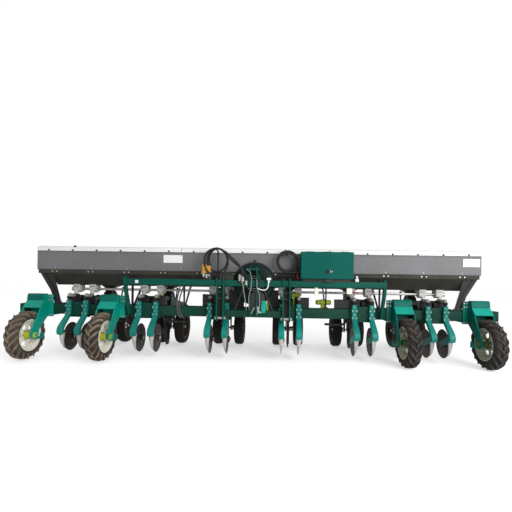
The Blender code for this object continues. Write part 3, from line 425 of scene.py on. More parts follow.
METER = finish("pale_meter_plastic", rgb(204, 204, 198), 0.5, drift=0.08, dust=0.25,
               dust_colour=rgb(120, 112, 100))
RAIL_PAINT = finish("rail_green_paint", rgb(0, 78, 66), 0.5, dust=0.25, dust_colour=rgb(34, 58, 50),
                    shine=0.12)
PALE_HOSE = finish("pale_ribbed_hose", rgb(150, 150, 144), 0.55, drift=0.08, dust=0.3,
                   dust_colour=rgb(104, 96, 84))
LINE_GREY = finish("dull_line_grey", rgb(88, 92, 88), 0.55, drift=0.1, dust=0.3, dust_colour=rgb(64, 62, 56))
CABLE_BLACK = finish("cable_sheath", rgb(36, 36, 38), 0.5, dust=0.12, dust_colour=rgb(78, 74, 70), grain=220)
PLATE_WHITE = finish("blank_plate", rgb(238, 236, 236), 0.5, drift=0.02, dust=0.06)
RED = finish("red_plastic", rgb(176, 48, 44), 0.4, drift=0.08)
print(len(bpy.data.materials), "finishes so far")

# %% [markdown]
# ## Camera, floor and light
# The machine is seen from the tractor's seat, a little right of the middle, with a wide lens. One large lamp
# stands to the right of the camera, so that faces turned that way are bright and the others fall into shade,
# and an even sky fills in. The floor is almost as pale as the background and keeps only a soft shadow.

# %% Camera
LENS, SENSOR_WIDTH = 24.75, 36  # millimetres
SHIFT_RIGHT, SHIFT_UP = -0.0209, 0.0481  # shares of the picture's width
CAMERA_PLACE = (0.2267, BAR_Y - 3.4977, 0.774)
ROLL, YAW = -0.0158, 0.0316

camera_data = bpy.data.cameras.new("camera")
camera_data.lens = LENS
camera_data.sensor_width = SENSOR_WIDTH
camera_data.shift_x, camera_data.shift_y = SHIFT_RIGHT, SHIFT_UP
camera = placed("camera", camera_data)
camera.location = CAMERA_PLACE
camera.rotation_euler = (math.radians(90), ROLL, YAW)
bpy.context.scene.camera = camera
bpy.context.scene.view_settings.view_transform = "Standard"
print("camera at", [round(value, 2) for value in camera.location])

# %% Is the camera looking
def maths(nodes, links, operation, first, second, clamp=False):
    """The output of a Math node whose two inputs are each a socket or a number."""
    node = nodes.new("ShaderNodeMath")
    node.operation = operation
    node.use_clamp = clamp
    for value, socket in zip((first, second), node.inputs):
        if isinstance(value, (int, float)):
            socket.default_value = value
        else:
            links.new(value, socket)
    return node.outputs[0]


def seen_directly(nodes, links):
    """Is a camera, mirror or glass ray looking: the sum of three Light Path outputs, at most 1."""
    path = nodes.new("ShaderNodeLightPath")
    total = path.outputs["Is Camera Ray"]
    for other in ("Is Glossy Ray", "Is Transmission Ray"):
        total = maths(nodes, links, "ADD", total, path.outputs[other], clamp=True)
    return total


print("sky and floor can tell a direct look from a bounce")

# %% Sky and lamp
SKY_LEVEL = 0.52
LAMP_POWER, LAMP_SIZE = 330, 4.0
LAMP_PLACE, LAMP_AIM = Vector((3.6, BAR_Y - 5.2, 2.6)), Vector((0.3, BAR_Y, 0.5))
WHITE_LIGHT = (1, 1, 1, 1)

world = bpy.data.worlds.new("sky")
bpy.context.scene.world = world
world.use_nodes = True
sky_nodes, sky_links = world.node_tree.nodes, world.node_tree.links
sky = sky_nodes["Background"]
sky.inputs["Color"].default_value = WHITE_LIGHT
level = sky_nodes.new("ShaderNodeMapRange")
level.inputs["To Min"].default_value = SKY_LEVEL
level.inputs["To Max"].default_value = 1.0
sky_links.new(seen_directly(sky_nodes, sky_links), level.inputs["Value"])
sky_links.new(level.outputs["Result"], sky.inputs["Strength"])

lamp_data = bpy.data.lights.new("key_lamp", "AREA")
lamp_data.energy = LAMP_POWER
lamp_data.size = LAMP_SIZE
lamp = placed("key_lamp", lamp_data)
lamp.location = LAMP_PLACE
lamp.rotation_euler = (LAMP_AIM - LAMP_PLACE).to_track_quat("-Z", "Y").to_euler()

print("the lamp stands", round((LAMP_AIM - LAMP_PLACE).length, 2), "m away")

# %% Floor
FLOOR_REACH, FLOOR_DROP, FLOOR_GLOW = 40.0, 0.001, 0.52
FLOOR_PALE, FLOOR_ROUGH, FLOOR_SHINE = 0.86, 0.9, 0.1

floor_mesh = bpy.data.meshes.new("floor")
corners = [(x * FLOOR_REACH, y * FLOOR_REACH, 0) for x, y in ((-1, -1), (1, -1), (1, 1), (-1, 1))]
floor_mesh.from_pydata(corners, [], [(0, 1, 2, 3)])
floor_look = bpy.data.materials.new("pale_floor")
floor_look.use_nodes = True
floor_nodes, floor_links = floor_look.node_tree.nodes, floor_look.node_tree.links
floor_shader = floor_nodes["Principled BSDF"]
floor_shader.inputs["Base Color"].default_value = (FLOOR_PALE, FLOOR_PALE, FLOOR_PALE, 1)
floor_shader.inputs["Roughness"].default_value = FLOOR_ROUGH
floor_shader.inputs["Specular IOR Level"].default_value = FLOOR_SHINE
floor_shader.inputs["Emission Color"].default_value = WHITE_LIGHT
glow = maths(floor_nodes, floor_links, "MULTIPLY", seen_directly(floor_nodes, floor_links), FLOOR_GLOW)
floor_links.new(glow, floor_shader.inputs["Emission Strength"])
floor_mesh.materials.append(floor_look)
floor = placed("floor", floor_mesh)
floor.location.z = -FLOOR_DROP
print("the floor reaches", FLOOR_REACH, "m each way")

# %% [markdown]
# ## Cable coil and hydraulic hoses
# Three limp things hang on the frame. The fan's control cable is wound in a neat coil over a hook and ends
# in a red plug; the hydraulic hose and the return hose beside it are both looped twice over a second hook.
# All are curves with a round section. The coil comes from a loop: a turn angle, and a slot in the winding
# that slides to the next one before each turn is complete.

# %% Cable coil
CABLE = 0.016
COIL = Vector((0.315, -0.128, 0.958))
CABLE_END = Vector((0.416, -0.112, 0.7975))
BOX_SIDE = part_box("toolbox")[0].x - GAP
OUTER, INNER = 0.101, 0.085
SLOTS = ((-0.144, OUTER), (-0.144, INNER), (-0.128, INNER), (-0.112, INNER), (-0.112, OUTER))
COIL_TURNS, POINTS_PER_TURN = 4.75, 40
SLIDE_START, SLIDE_WAIT, SLIDE_SPAN = 0.76, 0.02, 0.16  # shares of a turn
HOSE_POINTS = 160


def curve_piece(name, points, diameter, material):
    """A round cord along points, in the model's frame."""
    curve = bpy.data.curves.new(name, "CURVE")
    curve.dimensions = "3D"
    curve.bevel_depth = diameter / 2
    curve.bevel_resolution = 4
    curve.use_fill_caps = True
    curve.materials.append(material)
    line = curve.splines.new("POLY")
    line.points.add(len(points) - 1)
    for point, (x, y, z) in zip(line.points, points):
        point.co = (x, y + BAR_Y, z, 1)
    return placed(name, curve)


def coil_line():
    """From the tool box under the coil, round its five slots, and down to the plug."""
    line = [Vector((x, SLOTS[0][0], COIL.z - OUTER)) for x in (BOX_SIDE, 0.42, 0.40, 0.38, 0.36, 0.34)]
    for i in range(int(COIL_TURNS * POINTS_PER_TURN) + 1):
        turn = i / POINTS_PER_TURN
        slot = int(turn)
        (y, radius), (next_y, next_radius) = SLOTS[slot], SLOTS[min(slot + 1, len(SLOTS) - 1)]
        start = SLIDE_START + SLIDE_WAIT * (3 - slot)
        slide = min(max((turn - slot - start) / SLIDE_SPAN, 0), 1)
        slide = slide * slide * (3 - 2 * slide)
        y, radius = y + (next_y - y) * slide, radius + (next_radius - radius) * slide
        angle = -math.pi / 2 - 2 * math.pi * turn
        line.append(Vector((COIL.x + radius * math.cos(angle), y, COIL.z + radius * math.sin(angle))))
    for z in (0.94, 0.92, 0.90, 0.88, 0.86, 0.84, 0.82, CABLE_END.z):
        line.append(Vector((CABLE_END.x, CABLE_END.y, z)))
    return line


print("the coil has", COIL_TURNS, "turns")

# %% The coil, its plug and its tie
coil_points = coil_line()
cable = curve_piece("control_cable", coil_points, CABLE, CABLE_BLACK)
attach(cable, "frame")
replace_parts(cable, "cable_coil")
plug = turned([(0.0, 0.0), (0.0, 0.010), (0.003, 0.0125), (0.014, 0.0125), (0.016, 0.011), (0.030, 0.011),
               (0.034, 0.0095), (0.052, 0.0085), (0.052, 0.0)], (CABLE_END.x, CABLE_END.y, CABLE_END.z),
              "Z", 24)
cable_plug = finish_piece("cable_plug", plug, RED)
tie = turned([(-0.005, 0.019), (-0.005, 0.0215), (0.005, 0.0215), (0.005, 0.019)], sides=32)
bmesh.ops.scale(tie, vec=(1, 1.35, 1.0), verts=tie.verts)
cable_tie = finish_piece("cable_tie", shifted(tie, COIL.x - 0.02, COIL.y, COIL.z + 0.092), CHARCOAL)

# %% Hydraulic hose
VALVE_TOP = 0.85
HOSE_ROUTE = [(-0.415, -0.180, VALVE_TOP + GAP), (-0.415, -0.180, 0.900), (-0.428, -0.182, 0.970),
              (-0.405, -0.186, 1.035), (-0.345, -0.190, 1.070), (-0.280, -0.192, 1.035),
              (-0.252, -0.194, 0.960), (-0.280, -0.198, 0.885), (-0.345, -0.202, 0.850),
              (-0.415, -0.206, 0.885), (-0.440, -0.208, 0.960), (-0.412, -0.209, 1.035),
              (-0.345, -0.210, 1.070), (-0.275, -0.211, 1.030), (-0.225, -0.212, 0.975),
              (-0.165, -0.216, 0.925), (-0.110, -0.222, 0.880), (-0.075, -0.226, 0.830),
              (-0.068, -0.226, 0.785), (-0.068, -0.226, 0.740)]
HOSE = 0.016
hose_points = smooth_line(HOSE_ROUTE, HOSE_POINTS)
hose = curve_piece("hydraulic_hose_line", hose_points, HOSE, RUBBER)
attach(hose, "frame")
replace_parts(hose, "hydraulic_hose")


def crimp(x, y, z, up):
    """A crimped hose end with its hexagon nut."""
    sleeve = turned([(0.0, 0.0085), (0.0, 0.0115), (up * 0.026, 0.0115), (up * 0.030, 0.0085)], (x, y, z),
                    "Z", 24)
    nut = turned([(-up * 0.012, 0.0), (-up * 0.012, 0.013), (0.0, 0.013), (0.0, 0.0)], (x, y, z), "Z", 6)
    return poured(sleeve, nut)


hose_fitting = finish_piece("hose_fitting", crimp(-0.068, -0.226, 0.742, 1), BOLT)
hose_start = finish_piece("hose_start_fitting", crimp(-0.415, -0.180, 0.8625, 1), BOLT)

# %% Return hose
RETURN_ROUTE = [(-0.452, -0.196, VALVE_TOP + GAP), (-0.452, -0.197, 0.900), (-0.466, -0.210, 0.975),
                (-0.430, -0.224, 1.040), (-0.345, -0.232, 1.068), (-0.262, -0.234, 1.020),
                (-0.240, -0.235, 0.930), (-0.275, -0.236, 0.850), (-0.355, -0.238, 0.815),
                (-0.432, -0.242, 0.855), (-0.458, -0.248, 0.950), (-0.425, -0.252, 1.030),
                (-0.345, -0.253, 1.068), (-0.262, -0.254, 1.035), (-0.205, -0.255, 0.985),
                (-0.150, -0.256, 0.935), (-0.112, -0.257, 0.880), (-0.098, -0.257, 0.830),
                (-0.096, -0.257, 0.775)]
return_points = smooth_line(RETURN_ROUTE, HOSE_POINTS)
return_hose = curve_piece("return_hose_line", return_points, HOSE, RUBBER)
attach(return_hose, "frame")
return_fitting = finish_piece("return_hose_fitting", crimp(-0.096, -0.257, 0.777, 1), BOLT)
return_start = finish_piece("return_hose_start", crimp(-0.452, -0.196, 0.8625, 1), BOLT)

# %% [markdown]
# ## What repeats
# Bolts, tyre lugs and clips are the same small shape many times over. Geometry Nodes place them: one tree
# stands a hexagon head with its washer on every point and turns it to face along the point's direction, and
# another turns copies of a piece round an axle. Both end by making the copies real and giving them a
# material, and the result is kept as a plain mesh.

# %% The two trees
# sides, then radius and height as shares of the head's
HEAD_SHAPE, WASHER_SHAPE = (6, 1.0, 1.0), (14, 1.35, 0.3)


def tree_start(name):
    """An empty Geometry Nodes tree with its ends."""
    tree = bpy.data.node_groups.new(name, "GeometryNodeTree")
    tree.interface.new_socket("Geometry", in_out="INPUT", socket_type="NodeSocketGeometry")
    tree.interface.new_socket("Geometry", in_out="OUTPUT", socket_type="NodeSocketGeometry")
    return tree, tree.nodes.new("NodeGroupInput"), tree.nodes.new("NodeGroupOutput")


def tree_end(tree, instances, given, out):
    """Make the instances real and give them the chosen material."""
    real = tree.nodes.new("GeometryNodeRealizeInstances")
    dress = tree.nodes.new("GeometryNodeSetMaterial")
    tree.links.new(instances, real.inputs["Geometry"])
    tree.links.new(real.outputs["Geometry"], dress.inputs["Geometry"])
    tree.links.new(given.outputs["Material"], dress.inputs["Material"])
    tree.links.new(dress.outputs["Geometry"], out.inputs["Geometry"])


print("node trees can be written as text")

# %% Bolts on points
def bolt_tree():
    """Hexagon head on a washer at every point, facing along the point's "facing"."""
    tree, given, out = tree_start("bolts_on_points")
    for label in ("Head Radius", "Head Height"):
        tree.interface.new_socket(label, in_out="INPUT", socket_type="NodeSocketFloat")
    tree.interface.new_socket("Material", in_out="INPUT", socket_type="NodeSocketMaterial")
    nodes, links = tree.nodes, tree.links
    join = nodes.new("GeometryNodeJoinGeometry")
    for sides, wide, tall in (HEAD_SHAPE, WASHER_SHAPE):
        part = nodes.new("GeometryNodeMeshCylinder")
        part.inputs["Vertices"].default_value = sides
        lift = nodes.new("GeometryNodeTransform")
        rise = nodes.new("ShaderNodeCombineXYZ")
        for size, socket, factor in (("Head Radius", "Radius", wide), ("Head Height", "Depth", tall)):
            links.new(maths(nodes, links, "MULTIPLY", given.outputs[size], factor), part.inputs[socket])
        links.new(maths(nodes, links, "MULTIPLY", given.outputs["Head Height"], tall / 2), rise.inputs["Z"])
        links.new(rise.outputs[0], lift.inputs["Translation"])
        links.new(part.outputs["Mesh"], lift.inputs["Geometry"])
        links.new(lift.outputs["Geometry"], join.inputs["Geometry"])
    facing = nodes.new("GeometryNodeInputNamedAttribute")
    facing.data_type = "FLOAT_VECTOR"
    facing.inputs["Name"].default_value = "facing"
    align = nodes.new("FunctionNodeAlignRotationToVector")
    align.axis = "Z"
    links.new(facing.outputs["Attribute"], align.inputs["Vector"])
    scatter = nodes.new("GeometryNodeInstanceOnPoints")
    links.new(given.outputs["Geometry"], scatter.inputs["Points"])
    links.new(join.outputs["Geometry"], scatter.inputs["Instance"])
    links.new(align.outputs["Rotation"], scatter.inputs["Rotation"])
    tree_end(tree, scatter.outputs["Instances"], given, out)
    return tree


print("bolts can be set on points")

# %% Copies round an axle
def ring_tree():
    """Count copies of a piece, turned evenly about the X axis."""
    tree, given, out = tree_start("copies_round_an_axle")
    tree.interface.new_socket("Piece", in_out="INPUT", socket_type="NodeSocketObject")
    tree.interface.new_socket("Count", in_out="INPUT", socket_type="NodeSocketInt")
    tree.interface.new_socket("Material", in_out="INPUT", socket_type="NodeSocketMaterial")
    nodes, links = tree.nodes, tree.links
    line = nodes.new("GeometryNodeMeshLine")
    line.inputs["Offset"].default_value = (0, 0, 0)
    links.new(given.outputs["Count"], line.inputs["Count"])
    info = nodes.new("GeometryNodeObjectInfo")
    links.new(given.outputs["Piece"], info.inputs["Object"])
    index = nodes.new("GeometryNodeInputIndex")
    share = maths(nodes, links, "DIVIDE", index.outputs[0], given.outputs["Count"])
    turn = nodes.new("ShaderNodeCombineXYZ")
    links.new(maths(nodes, links, "MULTIPLY", share, 2 * math.pi), turn.inputs["X"])
    rotate = nodes.new("FunctionNodeEulerToRotation")
    links.new(turn.outputs[0], rotate.inputs["Euler"])
    scatter = nodes.new("GeometryNodeInstanceOnPoints")
    links.new(line.outputs["Mesh"], scatter.inputs["Points"])
    links.new(info.outputs["Geometry"], scatter.inputs["Instance"])
    links.new(rotate.outputs["Rotation"], scatter.inputs["Rotation"])
    tree_end(tree, scatter.outputs["Instances"], given, out)
    return tree
BOLTS_ON_POINTS = bolt_tree()
COPIES_ROUND_AN_AXLE = ring_tree()
print("copies can be set round an axle")

# %% From tree to plain mesh
def grown(tree, mesh, values):
    """Run a tree on a mesh with the given named inputs, and return the plain mesh it makes."""
    carrier = placed("carrier", mesh)
    modifier = carrier.modifiers.new("nodes", "NODES")
    modifier.node_group = tree
    for item in tree.interface.items_tree:
        if item.in_out == "INPUT" and item.name in values:
            modifier[item.identifier] = values[item.name]
    graph = bpy.context.evaluated_depsgraph_get()
    graph.update()
    plain = bpy.data.meshes.new_from_object(carrier.evaluated_get(graph), depsgraph=graph)
    carrier.modifiers.remove(modifier)
    bpy.data.objects.remove(carrier)
    return plain


def bolts(name, places, facing, radius=0.010, height=0.008, material=BOLT, body="frame"):
    """Bolt heads at places, in toolbar measures. facing is one direction, or one for each place."""
    cloud = bpy.data.meshes.new(name + "_points")
    cloud.from_pydata([(x, y + BAR_Y, z) for x, y, z in places], [], [])
    directions = facing if isinstance(facing[0], (tuple, list, Vector)) else [facing] * len(places)
    attribute = cloud.attributes.new("facing", "FLOAT_VECTOR", "POINT")
    attribute.data.foreach_set("vector", [c for direction in directions for c in direction])
    values = {"Head Radius": radius, "Head Height": height, "Material": material}
    mesh = grown(BOLTS_ON_POINTS, cloud, values)
    mesh.shade_smooth()
    mesh.set_sharp_from_angle(angle=math.radians(SHARP))
    piece = placed(name, mesh)
    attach(piece, body)
    return piece


def ring_of(bm, count, material):
    """A bmesh with count copies of bm turned about the X axis."""
    mesh = bpy.data.meshes.new("one_of_ring")
    bm.to_mesh(mesh)
    bm.free()
    single = placed("one_of_ring", mesh)
    values = {"Piece": single, "Count": count, "Material": material}
    plain = grown(COPIES_ROUND_AN_AXLE, bpy.data.meshes.new("ring_points"), values)
    bpy.data.objects.remove(single)
    result = bmesh.new()
    result.from_mesh(plain)
    return result


print("trees can be made plain")

# %% [markdown]
# ## Gauge wheels
# A small tractor-pattern tyre on a cream pressed rim. The lugs are what makes it read as a farm tyre: each
# is a bar that starts at the middle of the tread and sweeps back to the shoulder, left and right by turns.
# One lug is modelled and the ring tree repeats it. The rim is turned, and its dish is left open between six
# arms.

# %% Tyre, lugs and rim
LUG_COUNT = 18
LUG_HEIGHT = 0.015
RIM_ARMS = 6
LIT_DUSTY_WHEELS = 2  # the first two wheels carry the most dust and take the lighter, lit finishes; the other two take darker copies as painted shade
WHEEL_RADIUS = joints["gauge_wheel_1_spin"]["pos_m"][2]
CARCASS = ((0.0, 0.2105), (0.022, 0.2095), (0.040, 0.205), (0.051, 0.196), (0.0565, 0.182), (0.0565, 0.166),
           (0.052, 0.152), (0.046, 0.143))


def tyre_body():
    outer = [(-x, r) for x, r in reversed(CARCASS[1:])] + list(CARCASS)
    inner = [(0.040, 0.140), (0.030, 0.150), (-0.030, 0.150), (-0.040, 0.140)]
    return turned(outer + inner, sides=72)


def lug():
    """One lug of the right half of the tread, at the bottom of the wheel."""
    steps = ((-0.004, 0.2105), (0.014, 0.2100), (0.032, 0.2075), (0.046, 0.2010), (0.0545, 0.1900),
             (0.0572, 0.176))
    rings = []
    for i, (x, radius) in enumerate(steps):
        sweep = 0.17 - 0.42 * (i / (len(steps) - 1)) ** 0.9
        rise = LUG_HEIGHT if i < 3 else (LUG_HEIGHT - 0.001, 0.008, 0.002)[i - 3]
        half = 0.0125 - 0.0006 * i
        out = 0.0003 * i
        ring = []
        for offset, lift in ((-half * 1.35, -0.004), (-half * 0.8, rise), (half * 0.8, rise),
                             (half * 1.35, -0.004)):
            r = radius + lift
            angle = sweep + offset / radius
            ring.append((x + (out if lift > 0 else 0), r * math.sin(angle), -r * math.cos(angle)))
        rings.append(ring)
    return through(rings)


print("one lug has", len(lug().faces), "faces")

# %% Rim, arms and hub
def rim_shell():
    """The rolled rim with its two flanges and drop centre."""
    outer = both_ways([(0.049, 0.152), (0.046, 0.142), (0.036, 0.138), (0.026, 0.122)])
    inner = [(x * 1.02, r - 0.005) for x, r in reversed(outer)]
    return turned(outer + inner, sides=64)


def rim_arm():
    """One arm of the dish, pressed outwards a little between hub and rim."""
    half = 0.021
    line = ((0.040, 0.004, 1.25), (0.062, 0.012, 1.0), (0.088, 0.014, 1.0), (0.119, 0.004, 1.5))
    rings = []
    for radius, x, wide in line:
        w = half * wide
        rings.append([(x - 0.003, -w, -radius), (x + 0.003, -w, -radius), (x + 0.003, w, -radius),
                      (x - 0.003, w, -radius)])
    return through(rings)


def hub():
    """Turned hub with a bolt flange and grease seals, bored for the axle."""
    return turned(both_ways([(0.055, 0.0135), (0.055, 0.026), (0.049, 0.031), (0.016, 0.033), (0.008, 0.036),
                             (0.004, 0.052)]), sides=40)


print("the rim has", RIM_ARMS, "arms")

# %% Four gauge wheels
def gauge_wheel(number, x):
    body = f"gauge_wheel_{number}"
    lit_and_dusty = number <= LIT_DUSTY_WHEELS

    def on_axle(part, bm, material, sharp=SHARP):
        bm = shifted(bm, x, -WHEEL_AHEAD, WHEEL_RADIUS)
        return finish_piece(f"{body}_{part}", bm, material, body, sharp=sharp)

    # Tyre, lugs, rim and hub: lit copies on the first two wheels, darker copies as painted shade on the other two.
    tread = LIT_DUSTY_TREAD if lit_and_dusty else DARK_TYRE
    right = ring_of(lug(), LUG_COUNT, tread)
    left = mirrored(right)
    half_step = Matrix.Rotation(math.pi / LUG_COUNT, 3, "X")
    bmesh.ops.rotate(left, cent=(0, 0, 0), matrix=half_step, verts=left.verts)
    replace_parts(on_axle("tyre", tyre_body(), tread, 30), body)
    on_axle("lugs", poured(right, left), LIT_DUSTY_LUGS if lit_and_dusty else SHADED_LUGS, 30)
    dish = poured(rim_shell(), ring_of(rim_arm(), RIM_ARMS, CREAM),
                  turned([(-0.003, 0.036), (-0.003, 0.058), (0.007, 0.058), (0.007, 0.036)], sides=40),
                  turned([(0.002, 0.106), (0.002, 0.124), (0.009, 0.124), (0.009, 0.106)], sides=48))
    on_axle("rim", dish, CREAM if lit_and_dusty else SHADED_CREAM)
    on_axle("hub", hub(), YELLOW if lit_and_dusty else OLIVE)
    nuts, ways = [], []
    for side in (-1, 1):
        centre = (x + side * 0.006, -WHEEL_AHEAD, WHEEL_RADIUS)
        nuts += circle_of(RIM_ARMS, centre, 0.045, math.pi / RIM_ARMS)
        ways += [(side, 0, 0)] * RIM_ARMS
    bolts(f"{body}_nuts", nuts, ways, 0.007, 0.008, BOLT, body)


for number, x in enumerate(WHEELS, 1):
    gauge_wheel(number, x)
print("gauge wheels done")

# %% [markdown]
# ## Wheel forks
# Each wheel runs between two plates that hang from a stepped guard and bolt to the toolbar. The cut plates
# of the model already have the right outline, so they stay and only get their paint: the bright green on the
# forks of the first two wheels, and a darker green as painted shade on the others. What is added is a skin on
# the guard's step in a darker green as painted shade and on its slope in the bright green as painted light, a
# black sheet inside as painted shade in the guard's hollow, the bolts, the axle's nuts and the lever that
# cleans the rim.

# %% Forks, their bolts and scrapers
GUARD_HALF = 0.0852
STEP = [(-0.0965, 0.6123), (-0.1135, 0.5962), (-0.1198, 0.5445), (-0.1183, 0.5440), (-0.1123, 0.596),
        (-0.0963, 0.612)]
SLOPE = [(-0.1198, 0.5448), (-0.1776, 0.4814), (-0.1763, 0.4801), (-0.1184, 0.5437)]
# Outline of the black sheet inside the guard, which is painted shade in its hollow.
SHADE_SHEET_SIDE = [(-0.160, 0.476), (-0.160, 0.400), (-0.066, 0.400), (-0.066, 0.528), (-0.112, 0.528)]
SHADE_SHEET_FRONT = [(-0.1140, 0.5340), (-0.1675, 0.4805), (-0.1675, 0.4790), (-0.1140, 0.5325)]
SHADE_SHEET_IN, SHADE_SHEET_OUT = 0.0785, 0.0797

for number, x in enumerate(WHEELS, 1):
    lit_and_dusty = number <= LIT_DUSTY_WHEELS
    node = frame["nodes"][f"wheel_fork_{number}"]
    # The forks of the first two wheels keep the bright green; the others get the darker green as painted shade.
    node.data.materials.clear()
    node.data.materials.append(BRIGHT if lit_and_dusty else SHADED_FORK_GREEN)
    inboard = -1 if x > 0 else 1
    mount = x + inboard * 0.115
    heads = [(mount + dx, -0.0623, z) for dx in (-0.014, 0.014) for z in (0.398, 0.55, 0.585)]
    bolts(f"fork_{number}_mount_bolts", heads, (0, -1, 0), 0.0058, 0.006)
    # The guard's step in a darker green as painted shade, and its slope in the bright green as painted light.
    finish_piece(f"fork_{number}_step", plate(STEP, about(x, GUARD_HALF)), GUARD_SHADE)
    finish_piece(f"fork_{number}_slope", plate(SLOPE, about(x, GUARD_HALF)), BRIGHT)
    # A black sheet inside the guard, as painted shade in its hollow.
    painted_shade_sheet = [plate(SHADE_SHEET_SIDE, sides) for sides in ((x - SHADE_SHEET_OUT, x - SHADE_SHEET_IN),
                                                    (x + SHADE_SHEET_IN, x + SHADE_SHEET_OUT))]
    painted_shade_sheet.append(plate(SHADE_SHEET_FRONT, about(x, SHADE_SHEET_IN - 0.0001)))
    finish_piece(f"fork_{number}_liner", painted_shade_sheet, BLACK)
    y, z = -WHEEL_AHEAD, WHEEL_RADIUS
    ends = [(x + side * 0.0900, y, z) for side in (-1, 1)]
    # The axle nuts take the shaded olive as painted shade on the other two forks.
    bolts(f"fork_{number}_axle_nuts", ends, [(-1, 0, 0), (1, 0, 0)], 0.021, 0.013, YELLOW if lit_and_dusty
          else OLIVE)
    side = x + inboard * 0.094
    scraper = [block(sorted((side, side + inboard * 0.006)), (y + 0.005, y + 0.115), (z - 0.040, z - 0.018)),
               cylinder((side - inboard * 0.006, y + 0.014, z - 0.029),
                        (side + inboard * 0.012, y + 0.014, z - 0.029), 0.010),
               block(sorted((side - inboard * 0.03, side + inboard * 0.012)), (y + 0.108, y + 0.116),
                     (z - 0.050, z + 0.005))]
    finish_piece(f"fork_{number}_scraper", scraper, TEAL, bevel=0.0015)
print("forks done")

# %% [markdown]
# ## Fertiliser openers
# Under every meter hangs a curved shank. It is clamped to the front of the toolbar, sweeps forward, turns
# back at the knee and carries a coulter disc, with a worn steel point just ahead of the blade. The sweep is
# one bar drawn along a smooth line, wider at the knee than at the top.

# %% Shanks, points and clamps
SHANK_FACE = -0.0783
KNEE_Y, KNEE_Z = -0.215, 0.265
DISC_Y, DISC_Z = -0.03, joints["opener_disc_1a_spin"]["pos_m"][2]
DISC_RADIUS = 0.14


def shank(x):
    line = smooth_line([(x, SHANK_FACE, 0.552), (x, SHANK_FACE, 0.50), (x, SHANK_FACE - 0.001, 0.448),
                        (x, -0.096, 0.405), (x, -0.136, 0.365), (x, -0.180, 0.326), (x, -0.2085, 0.292),
                        (x, -0.2165, 0.262), (x, -0.206, 0.240)], 30)

    def section(share):
        wide = 0.0225 + 0.006 * min(max((share - 0.35) / 0.4, 0), 1)
        deep = 0.0175 + 0.003 * min(max((share - 0.7) / 0.2, 0), 1)
        c = 0.005
        return ((-wide + c, -deep), (wide - c, -deep), (wide, -deep + c), (wide, deep - c),
                (wide - c, deep), (-wide + c, deep), (-wide, deep - c), (-wide, -deep + c))

    arm = [(KNEE_Y - 0.012, KNEE_Z + 0.004), (KNEE_Y + 0.002, KNEE_Z - 0.034),
           (DISC_Y - 0.020, DISC_Z - 0.026), (DISC_Y + 0.010, DISC_Z - 0.022), (DISC_Y + 0.020, DISC_Z),
           (DISC_Y + 0.010, DISC_Z + 0.020), (DISC_Y - 0.012, DISC_Z + 0.026),
           (KNEE_Y + 0.050, KNEE_Z + 0.012)]
    return poured(swept(line, section), plate(arm, (x - 0.024, x - 0.012)))


def point(x):
    """Tapering wear point just ahead of the blade's edge."""
    rings = []
    for z, half, deep in ((0.246, 0.022, 0.036), (0.225, 0.021, 0.032), (0.195, 0.0175, 0.026),
                          (0.160, 0.014, 0.020), (0.120, 0.009, 0.013), (0.088, 0.004, 0.007)):
        rear = DISC_Y - math.sqrt(max((DISC_RADIUS + 0.007) ** 2 - (z - DISC_Z) ** 2, 0))
        front = rear - deep
        rings.append([(x - half, rear, z), (x + half, rear, z), (x + half, front + half * 0.5, z),
                      (x, front, z), (x - half, front + half * 0.5, z)])
    return through(rings)


print("discs of", 2 * DISC_RADIUS, "m")

# %% Row clamps
ARM_Y = 0.125
CHEEK_SIDES, CHEEK_THICK = (-0.082, 0.072), 0.010
PIN_HALF, PIN_RADIUS = 0.0775, 0.0098


def row_clamp(row):
    """Plates before and behind the toolbar, the straps between them, and the head that carries the arms."""
    far = 0.0623
    cheek = [(far - 0.004, 0.395), (0.105, 0.374), (0.135, 0.374), (0.151, 0.390), (0.151, 0.566),
             (0.138, 0.586), (0.110, 0.586), (far - 0.004, 0.575)]
    parts = [block(about(row, 0.118), (-far, -BAR_FACE), (0.384, 0.536)),
             block(about(row, 0.092), (BAR_FACE, far), (0.384, 0.60))]
    for dx in (-0.0415, 0.0415):
        for z in ((0.394, BAR_LOW - GAP), (SEAT, 0.526)):
            parts.append(block(about(row + dx, 0.013), (-far + 0.002, far - 0.002), z))
    for x in CHEEK_SIDES:
        parts.append(plate(cheek, (row + x, row + x + CHEEK_THICK)))
    for z in (0.40, 0.56):
        parts.append(cylinder((row - PIN_HALF, ARM_Y, z), (row + PIN_HALF, ARM_Y, z), PIN_RADIUS))
    return poured(*parts)


print("row clamps can be made")

# %% Six pairs of shanks
fronts, sides_facing = [], []
for number, row in enumerate(ROWS, 1):
    clamp = finish_piece(f"row_clamp_{number}", row_clamp(row), SHADED_DEEP_GREEN, bevel=0.002)
    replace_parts(clamp, f"opener_bracket_{number}")
    pair = (row - SHANK_OFFSET, row + SHANK_OFFSET)
    finish_piece(f"shanks_{number}", [shank(x) for x in pair], TEAL, sharp=40)
    finish_piece(f"points_{number}", [point(x) for x in pair], SHIN, sharp=40)
    keepers = []
    for x in pair:
        keepers += [block(about(x, 0.027), (-0.1045, -0.0965), z) for z in ((0.412, 0.442), (0.482, 0.512))]
        keepers.append(cylinder((x - 0.012, DISC_Y, DISC_Z), (x + 0.028, DISC_Y, DISC_Z), 0.0078))
        fronts += [(x + dx, -0.1045, z) for dx in (-0.0195, 0.0195) for z in (0.427, 0.497)]
        fronts += [(x, SHANK_FACE - 0.0175, 0.533), (x, SHANK_FACE - 0.0175, 0.462)]
        sides_facing += [(x + 0.0290, DISC_Y, DISC_Z)]
    finish_piece(f"shank_keepers_{number}", keepers, TEAL, bevel=0.0015)
bolts("shank_bolts", fronts, (0, -1, 0), 0.0047, 0.006)
bolts("disc_spindle_nuts", sides_facing, (1, 0, 0), 0.013, 0.009)
